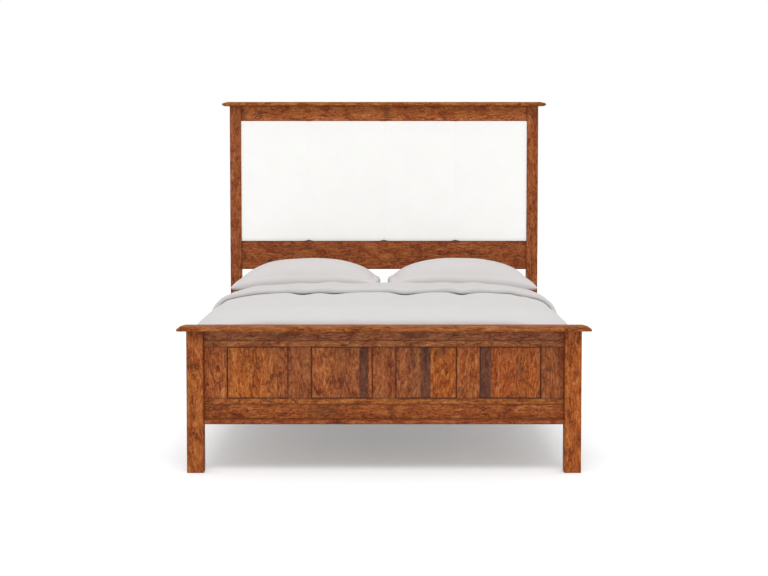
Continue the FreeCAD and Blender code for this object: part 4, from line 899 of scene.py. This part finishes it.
def turned_back_fold(material):
    """The top of the duvet, turned back: a soft roll in front and a flat layer behind it."""
    outer = duvet_grid()[0]
    line_below = outer[len(outer) // 4]
    columns = [column for column, point in enumerate(line_below) if point.z > FOLD_HEM]
    points = []
    for column in columns:
        from_end = min(column - columns[0], columns[-1] - column)
        section = fold_section(line_below[column].x, 0.55 + 0.45 * between(0.0, 1.0, from_end / 5))
        points += [over_duvet(outer, column, y, height) for y, height in section]
    size = len(points) // len(columns)
    loops = [list(range(start, start + size)) for start in range(0, len(points), size)]
    faces = faces_of_loops(loops) + [loops[0], loops[-1][::-1]]
    piece = make_piece("duvet_turned_back_fold", points, faces, material)
    subdivide(piece)
    return piece


# ------------------------------------------------------------------ pillows
PILLOWS = {-1: "left", 1: "right"}
# Heights over the mattress, in metres: the seam at the outer and the inner end, and the crown.
OUTER_SEAM = 0.070
INNER_SEAM = 0.097
PILLOW_CROWN = 0.214
CORNER_HANG = 16 * MM    # how far the inner end's corners hang below its seam


def pillow(side, material):
    """A filled pillow in its case: pointed corners, edges drawn in between them, a domed top."""
    low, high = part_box(f"pillow_{PILLOWS[side]}")
    rest = low.z
    crown = rest + PILLOW_CROWN
    middle = (low + high) / 2
    middle.x -= side * 4 * MM
    half_x, half_y = (high.x - low.x) / 2 - 9 * MM, (high.y - low.y) / 2 - 5 * MM

    def skin_point(upper, across, back):
        """A point of the upper or lower skin: across and back run from -1 to 1 from seam to seam."""
        outwards = across * side
        seam = rest + INNER_SEAM + (OUTER_SEAM - INNER_SEAM) * (outwards + 1) / 2
        seam -= CORNER_HANG * back * back * (1 - outwards) / 2
        inner_end = between(0.0, -1.0, outwards)
        drawn_in = 0.022 * (1 - back * back) * (1 - inner_end) + 0.050 * back * back * inner_end
        x = middle.x + half_x * across * (1 - drawn_in)
        y = middle.y + half_y * back * (1 - 0.060 * (1 - across * across))
        if not upper:
            flat = (max(0.0, 1 - across * across) * max(0.0, 1 - back * back)) ** 0.42
            return x, y, seam - (seam - rest) * min(1.0, flat * 1.15)
        shoulder, steepness = (2.4, 0.62) if outwards > 0 else (3, 0.72)
        arch = max(0.0, 1 - abs(across) ** shoulder) ** steepness
        dome = arch * max(0.0, 1 - abs(back) ** 2.6) ** 0.385
        wave = noise.noise(Vector((x * 9, y * 9, side * 4.0)))
        return x, y, seam + (crown - seam) * dome + wave * 3 * MM * min(1.0, dome * 2)

    def towards_seams(count):
        """Steps from -1 to 1 that are closest together at the seams."""
        return [math.sin(math.pi / 2 * (2 * step / count - 1)) for step in range(count + 1)]

    points, faces, free, seams = [], [], [], {}
    columns, rows = towards_seams(84), towards_seams(56)
    for upper in (True, False):
        skin = []
        for across in columns:
            skin.append([])
            for back in rows:
                on_seam = abs(across) == 1 or abs(back) == 1
                if on_seam and not upper:
                    skin[-1].append(seams[across, back])
                    continue
                seams[across, back] = len(points)
                skin[-1].append(len(points))
                points.append(skin_point(upper, across, back))
                # the seam and the corners keep their place
                free.append(between(0.0, 0.30, 1 - across * across) * between(0.0, 0.30, 1 - back * back))
        faces += faces_of_rows(skin)
    piece = make_piece(f"pillow_in_case_{PILLOWS[side]}", points, faces, material)
    puff(piece, np.array(free), 12 * MM, pressure=4.0, frames=20, slack=0.035)
    # what the simulation adds in height is scaled back, and nothing sinks into the mattress
    places = coordinates(piece.data)
    places[:, 2] = rest + (places[:, 2] - rest) * (crown - rest) / (places[:, 2].max() - rest)
    places[:, 2] = np.maximum(places[:, 2], rest)
    places[:, 1] = np.clip(places[:, 1], low.y + 1 * MM, high.y)
    piece.data.vertices.foreach_set("co", places.ravel())
    subdivide(piece)
    return piece


# ------------------------------------------------------------------ stitches
STITCH_SHARE = 0.66      # share of the pitch that a stitch's thread covers
HEM_STEP = 0.01          # a hem is followed with a ray at this spacing
DUVET_HEM = 0.360        # height of the stitches along the duvet's side hems
DUVET_HEM_START = -0.97  # from here on there are so many rays
DUVET_HEM_RAYS = 152
CASE_HEM = 0.075         # a pillowcase's hem lies this far in from its outer end
CASE_HEM_MARGIN = 0.03   # and ends this far from its long seams


def stitch_tree(material):
    """Geometry nodes that sew a row of short stitches along a line."""
    tree = bpy.data.node_groups.new("Row of stitches", "GeometryNodeTree")
    tree.interface.new_socket("Geometry", in_out="INPUT", socket_type="NodeSocketGeometry")
    for name, value in (("Pitch", 7 * MM), ("Stitch length", 4.6 * MM), ("Thread radius", 0.55 * MM)):
        socket = tree.interface.new_socket(name, in_out="INPUT", socket_type="NodeSocketFloat")
        socket.default_value = value
        socket.subtype = "DISTANCE"
    tree.interface.new_socket("Geometry", in_out="OUTPUT", socket_type="NodeSocketGeometry")
    source = add_node(tree, "NodeGroupInput").outputs
    curve = add_node(tree, "GeometryNodeMeshToCurve", {"Mesh": source["Geometry"]})
    along = add_node(tree, "GeometryNodeResampleCurve", {"Curve": curve, "Length": source["Pitch"]},
                     mode="LENGTH")
    thread = add_node(tree, "GeometryNodeMeshCylinder",
                      {"Vertices": 6, "Radius": source["Thread radius"],
                       "Depth": source["Stitch length"]})
    tangent = add_node(tree, "GeometryNodeInputTangent")
    turn = add_node(tree, "FunctionNodeAlignEulerToVector", {"Vector": tangent}, axis="Z")
    sewn = add_node(tree, "GeometryNodeInstanceOnPoints",
                    {"Points": along, "Instance": thread, "Rotation": turn})
    real = add_node(tree, "GeometryNodeRealizeInstances", {"Geometry": sewn})
    coloured = add_node(tree, "GeometryNodeSetMaterial", {"Geometry": real, "Material": material})
    add_node(tree, "NodeGroupOutput", {"Geometry": coloured})
    return tree


def sewn_row(name, lines, tree):
    """Stitches along open lines that lie on the cloth, as one plain mesh."""
    points, edges = [], []
    for line in lines:
        edges += [(len(points) + index, len(points) + index + 1) for index in range(len(line) - 1)]
        points += [tuple(point) for point in line]
    mesh = bpy.data.meshes.new(name)
    mesh.from_pydata(points, edges, [])
    piece = add_object(name, mesh)
    modifier = piece.modifiers.new("Stitches", "NODES")
    modifier.node_group = tree
    pitch = bpy.context.scene.panel_bed_bedding.stitch_pitch
    sizes = {"Pitch": pitch, "Stitch length": pitch * STITCH_SHARE}
    for item in tree.interface.items_tree:
        if item.in_out == "INPUT" and item.name in sizes:
            modifier[item.identifier] = sizes[item.name]
    plain(piece)
    return piece


def on_surface(piece, starts, towards, lift=0.3 * MM):
    """Where rays from the starting points meet a piece's outside."""
    tree = BVHTree.FromPolygons([vertex.co for vertex in piece.data.vertices],
                                [tuple(polygon.vertices) for polygon in piece.data.polygons])
    found = [tree.ray_cast(Vector(start), Vector(towards)) for start in starts]
    return [place + normal * lift for place, normal, _, _ in found if place is not None]


# ------------------------------------------------------------------ what a user would change
def colour(name, description, code):
    """A colour property with an sRGB hex default."""
    return bpy.props.FloatVectorProperty(name=name, description=description, default=linear(code),
                                         size=4, min=0.0, max=1.0, subtype="COLOR")


class PanelBedWood(bpy.types.PropertyGroup):
    """The stain and lacquer of the boards."""
    contrast: bpy.props.FloatProperty(
        name="Figure contrast", description="How far the stain's blotches and flecks depart in tone",
        default=0.65, min=0.0, max=1.0, subtype="FACTOR")
    roughness: bpy.props.FloatProperty(
        name="Lacquer roughness", description="Roughness of the satin lacquer", default=0.45,
        min=0.05, max=1.0, subtype="FACTOR")
    # the marks' colour also paints the dark rim along the boards' edges: stain in the joints and painted
    # shade of the grooves and recesses
    marks_and_joint_shade_colour: colour("Marks", "Pores, knots and the stain left in the joints", "#371706")
    wear_colour: colour("Rubbed edges", "Bare edges where the stain is rubbed through", "#B98254")
    timber_colour: colour("Planed timber", "The unfinished slats and ledgers", "#C9A777")


class PanelBedBedding(bpy.types.PropertyGroup):
    """The cloth and the shapes of the bedding and the upholstery."""
    cover_colour: colour("Duvet cover", "Washed cotton of the duvet's upper side", "#CDCBCA")
    # the turned-back fold's cloth is painted a little darker than the cover, as painted shade on the
    # fold's front
    fold_shade_colour: colour("Turned-back side", "The duvet cover's underside", "#C9C6C4")
    case_colour: colour("Pillowcases", "Washed cotton of the pillowcases", "#CAC6C5")
    upholstery_colour: colour("Upholstery", "Linen on the headboard", "#F7F7F5")
    sheet_colour: colour("Fitted sheet", "The mattress's sheet", "#DAD8D6")
    wrinkle: bpy.props.FloatProperty(
        name="Wrinkles", description="Depth of the duvet's swells and flutes", default=1.0,
        min=0.0, max=2.0, subtype="FACTOR")
    mesh_spacing: bpy.props.FloatProperty(
        name="Duvet grid", description="Spacing of the duvet's points before it is smoothed",
        default=0.0185, min=0.012, max=0.05, unit="LENGTH")
    pillow_fill: bpy.props.FloatProperty(
        name="Pillow fill", description="How tightly the pillows are filled", default=0.8,
        min=0.0, max=1.0, subtype="FACTOR")
    stitch_pitch: bpy.props.FloatProperty(
        name="Stitch pitch", description="Distance between the hem's stitches", default=0.007,
        min=0.003, max=0.02, unit="LENGTH")


class PanelBedStudio(bpy.types.PropertyGroup):
    """The studio's light."""
    dome: bpy.props.FloatProperty(
        name="Dome", description="Strength of the even light from all round", default=0.80, min=0.0)
    overhead: bpy.props.FloatProperty(
        name="Overhead lamp", description="Strength of the soft lamp above", default=1.25, min=0.0)
    floor_gain: bpy.props.FloatProperty(
        name="Floor", description="How bright the camera sees the floor", default=0.8, min=0.0)
    floor_lift: bpy.props.FloatProperty(
        name="Shadow lift", description="What the camera sees even in the deepest shadow",
        default=0.272, min=0.0)


# ------------------------------------------------------------------ stage
FLOOR_HALF = 20.0        # half the paper floor's width, so that its edge lies far off
LAMP_SPREAD = 30.0       # degrees of sky that the overhead lamp covers
LAMP_LEAN = 36.0         # degrees that it leans from the zenith to the front
# The photograph's viewpoint: in the middle, in front of the footboard, turned a little down.
CAMERA_PLACE = (0.0, -8.4357, 1.25636)
CAMERA_DOWN = 3.7365     # degrees
CAMERA_LENS = 82.73      # mm, as is the sensor's width
CAMERA_SENSOR = 36.0


def even_light(scene, settings):
    """A world that lights evenly, and is white where the camera, gloss or glass sees it."""
    world = bpy.data.worlds.new("Even white studio")
    scene.world = world
    world.use_nodes = True
    tree = world.node_tree
    tree.nodes.clear()
    rays = add_node(tree, "ShaderNodeLightPath").outputs
    seen = rays["Is Camera Ray"]
    for ray in ("Is Glossy Ray", "Is Transmission Ray"):
        seen = add_node(tree, "ShaderNodeMath", {0: seen, 1: rays[ray]}, operation="MAXIMUM")
    strength = add_node(tree, "ShaderNodeMapRange",
                        {"Value": seen, "To Min": settings.dome, "To Max": 1.0})
    white = add_node(tree, "ShaderNodeBackground",
                     {"Color": (1.0, 1.0, 1.0, 1.0), "Strength": strength})
    add_node(tree, "ShaderNodeOutputWorld", {"Surface": white})


def paper_floor(settings):
    """A matt paper floor that keeps the bed's shadow, and is nearly white to the camera."""
    mesh = bpy.data.meshes.new("studio_floor")
    corners = [(x * FLOOR_HALF, y * FLOOR_HALF, 0.0) for x, y in ((-1, -1), (1, -1), (1, 1), (-1, 1))]
    mesh.from_pydata(corners, [], [(0, 1, 2, 3)])
    floor = add_object("studio_floor", mesh)
    paper, tree = empty_material("matt_paper_floor")
    camera_ray = add_node(tree, "ShaderNodeLightPath").outputs["Is Camera Ray"]
    tone = add_node(tree, "ShaderNodeMapRange",
                    {"Value": camera_ray, "To Min": 0.82, "To Max": settings.floor_gain})
    matt = add_node(tree, "ShaderNodeBsdfDiffuse", {"Color": tone})
    lift = add_node(tree, "ShaderNodeMapRange",
                    {"Value": camera_ray, "To Min": 0.0, "To Max": settings.floor_lift})
    glow = add_node(tree, "ShaderNodeEmission", {"Color": (0.97, 1.0, 1.03, 1.0), "Strength": lift})
    shader = add_node(tree, "ShaderNodeAddShader", {0: matt, 1: glow})
    add_node(tree, "ShaderNodeOutputMaterial", {"Surface": shader})
    mesh.materials.append(paper)


def overhead_lamp(settings):
    """A wide soft lamp above, leaning to the front."""
    lamp = bpy.data.lights.new("soft_overhead_lamp", "SUN")
    lamp.energy = settings.overhead
    lamp.angle = math.radians(LAMP_SPREAD)
    add_object("soft_overhead_lamp", lamp).rotation_euler = (math.radians(LAMP_LEAN), 0.0, 0.0)


def front_camera(scene):
    """The camera at the photograph's viewpoint."""
    camera = bpy.data.cameras.new("front_camera")
    camera.lens = CAMERA_LENS
    camera.sensor_width = CAMERA_SENSOR
    camera.clip_end = 100.0
    scene.camera = add_object("front_camera", camera)
    scene.camera.location = CAMERA_PLACE
    scene.camera.rotation_euler = (math.radians(90 - CAMERA_DOWN), 0.0, 0.0)


# ------------------------------------------------------------------ operators
class PANELBED_OT_studio(bpy.types.Operator):
    """Pale floor, even light, a soft lamp above and the camera in front of the footboard"""
    bl_idname = "panel_bed.studio"
    bl_label = "Studio"

    def execute(self, context):
        settings = context.scene.panel_bed_studio
        even_light(context.scene, settings)
        paper_floor(settings)
        overhead_lamp(settings)
        front_camera(context.scene)
        context.scene.view_settings.view_transform = "Standard"
        return {"FINISHED"}


class PANELBED_OT_boards(bpy.types.Operator):
    """Stains every board of the headboard, the footboard and the side rails"""
    bl_idname = "panel_bed.boards"
    bl_label = "Stained boards"

    def execute(self, context):
        for name, look in BOARDS.items():
            give([name], stained_board(name, **look))
        return {"FINISHED"}


class PANELBED_OT_base(bpy.types.Operator):
    """Finishes the slats, ledgers, beam and dowels, and the plywood behind the upholstery, painted dark as
    shade between the pads
    """
    bl_idname = "panel_bed.base"
    bl_label = "Slatted base"

    def execute(self, context):
        slatted = [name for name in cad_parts
                   if name.startswith("slat_") and name != "slat_screws"]
        slats = [name for name in slatted if "ledger" not in name]
        along_bed = [name for name in slatted if "ledger" in name] + ["centre_beam"]
        timber = context.scene.panel_bed_wood.timber_colour
        give(slats, planed_timber("slats", "x", timber))
        give(along_bed, planed_timber("beam_and_ledgers", "y", timber))
        give(["cap_dowels"], planed_timber("dowels", "z", timber))
        # the plywood is painted dark so that the gaps between the pads read as shade: painted shade
        plywood = planed_timber("plywood_backing_painted_as_shade", "x", linear("#6A4630"), spread=0.5)
        give(["headboard_backing"], plywood)
        return {"FINISHED"}


class PANELBED_OT_fittings(bpy.types.Operator):
    """Plates the bolts, screws, hangers and hook plates with zinc"""
    bl_idname = "panel_bed.fittings"
    bl_label = "Fittings"

    def execute(self, context):
        fittings = ["plate_screws", "slat_screws", "post_slot_plates", "rail_hook_plates",
                    "threaded_inserts"]
        fittings += [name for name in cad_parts
                     if name.startswith(("levelling_bolt", "beam_hanger"))]
        give(fittings, plated_steel())
        return {"FINISHED"}


class PANELBED_OT_pads(bpy.types.Operator):
    """Makes the four upholstered pads of the headboard"""
    bl_idname = "panel_bed.pads"
    bl_label = "Headboard pads"

    def execute(self, context):
        linen = woven_cloth("bleached_linen", context.scene.panel_bed_bedding.upholstery_colour,
                            thread=2.2, depth=0.25, uneven=0.02, slub=0.8, sheen=0.05)
        for index, name in enumerate(PADS):
            seat(upholstered_pad(name, index, linen), [name])
        return {"FINISHED"}


class PANELBED_OT_mattress(bpy.types.Operator):
    """Makes the mattress in its fitted sheet"""
    bl_idname = "panel_bed.mattress"
    bl_label = "Mattress"

    def execute(self, context):
        cotton = percale("percale_fitted_sheet", context.scene.panel_bed_bedding.sheet_colour)
        seat(fitted_mattress(cotton), ["mattress"])
        return {"FINISHED"}


class PANELBED_OT_duvet(bpy.types.Operator):
    """Makes the duvet and its turned-back top"""
    bl_idname = "panel_bed.duvet"
    bl_label = "Duvet"

    def execute(self, context):
        settings = context.scene.panel_bed_bedding
        cover = percale("percale_duvet_cover", settings.cover_colour)
        seat(quilted_duvet(cover), ["duvet"])
        # the fold's cloth is a darker copy of the cover's: painted shade on the fold's front
        fold_shade_cloth = percale("percale_fold_painted_shade", settings.fold_shade_colour)
        seat(turned_back_fold(fold_shade_cloth), ["duvet_fold"])
        return {"FINISHED"}


class PANELBED_OT_pillows(bpy.types.Operator):
    """Makes the two pillows"""
    bl_idname = "panel_bed.pillows"
    bl_label = "Pillows"

    def execute(self, context):
        settings = context.scene.panel_bed_bedding
        cotton = percale("percale_pillowcase", settings.case_colour)
        for side, word in PILLOWS.items():
            seat(pillow(side, cotton), [f"pillow_{word}"])
        return {"FINISHED"}


class PANELBED_OT_stitches(bpy.types.Operator):
    """Sews the duvet cover's side hems and the pillowcases' hems"""
    bl_idname = "panel_bed.stitches"
    bl_label = "Stitches"

    def execute(self, context):
        thread = woven_cloth("cotton_thread", linear("#D8D5D2"), thread=0.8, depth=0.05, uneven=0.03,
                             slub=0.2, sheen=0.1)
        lines = []
        for side in (-1, 1):
            # from well outside the bed, inwards
            starts = [(side * 1.2, DUVET_HEM_START + step * HEM_STEP, DUVET_HEM)
                      for step in range(DUVET_HEM_RAYS)]
            lines.append(on_surface(bpy.data.objects["duvet_cover"], starts, (-side, 0.0, 0.0)))
        for side, word in PILLOWS.items():
            low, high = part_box(f"pillow_{word}")
            x = (high.x if side > 0 else low.x) - side * CASE_HEM
            rays = int((high.y - low.y - 2 * CASE_HEM_MARGIN) / HEM_STEP)
            # from well above the pillow, downwards
            starts = [(x, low.y + CASE_HEM_MARGIN + step * HEM_STEP, high.z + 0.2)
                      for step in range(rays)]
            lines.append(on_surface(bpy.data.objects[f"pillow_in_case_{word}"], starts,
                                    (0.0, 0.0, -1.0)))
        seat(sewn_row("hem_stitches", lines, stitch_tree(thread)))
        return {"FINISHED"}


class VIEW3D_PT_panel_bed(bpy.types.Panel):
    """The panel bed's settings and steps"""
    bl_label = "Panel bed"
    bl_space_type = "VIEW_3D"
    bl_region_type = "UI"
    bl_category = "Panel bed"

    def draw(self, context):
        for name in GROUPS:
            group = getattr(context.scene, name)
            box = self.layout.box()
            for field in group.__annotations__:
                box.prop(group, field)
        for step in STEPS:
            self.layout.operator(step.bl_idname)


GROUPS = {"panel_bed_wood": PanelBedWood, "panel_bed_bedding": PanelBedBedding,
          "panel_bed_studio": PanelBedStudio}
STEPS = (PANELBED_OT_studio, PANELBED_OT_boards, PANELBED_OT_base, PANELBED_OT_fittings,
         PANELBED_OT_pads, PANELBED_OT_mattress, PANELBED_OT_duvet, PANELBED_OT_pillows,
         PANELBED_OT_stitches)
CLASSES = (*GROUPS.values(), *STEPS, VIEW3D_PT_panel_bed)


def register():
    for made in CLASSES:
        bpy.utils.register_class(made)
    for name, group in GROUPS.items():
        setattr(bpy.types.Scene, name, bpy.props.PointerProperty(type=group))


def unregister():
    for name in GROUPS:
        delattr(bpy.types.Scene, name)
    for made in reversed(CLASSES):
        bpy.utils.unregister_class(made)


def main():
    register()
    bpy.ops.panel_bed.studio()
    bpy.ops.panel_bed.boards()
    bpy.ops.panel_bed.base()
    bpy.ops.panel_bed.fittings()
    bpy.ops.panel_bed.pads()
    bpy.ops.panel_bed.mattress()
    bpy.ops.panel_bed.duvet()
    bpy.ops.panel_bed.pillows()
    bpy.ops.panel_bed.stitches()


if __name__ == "__main__":
    main()
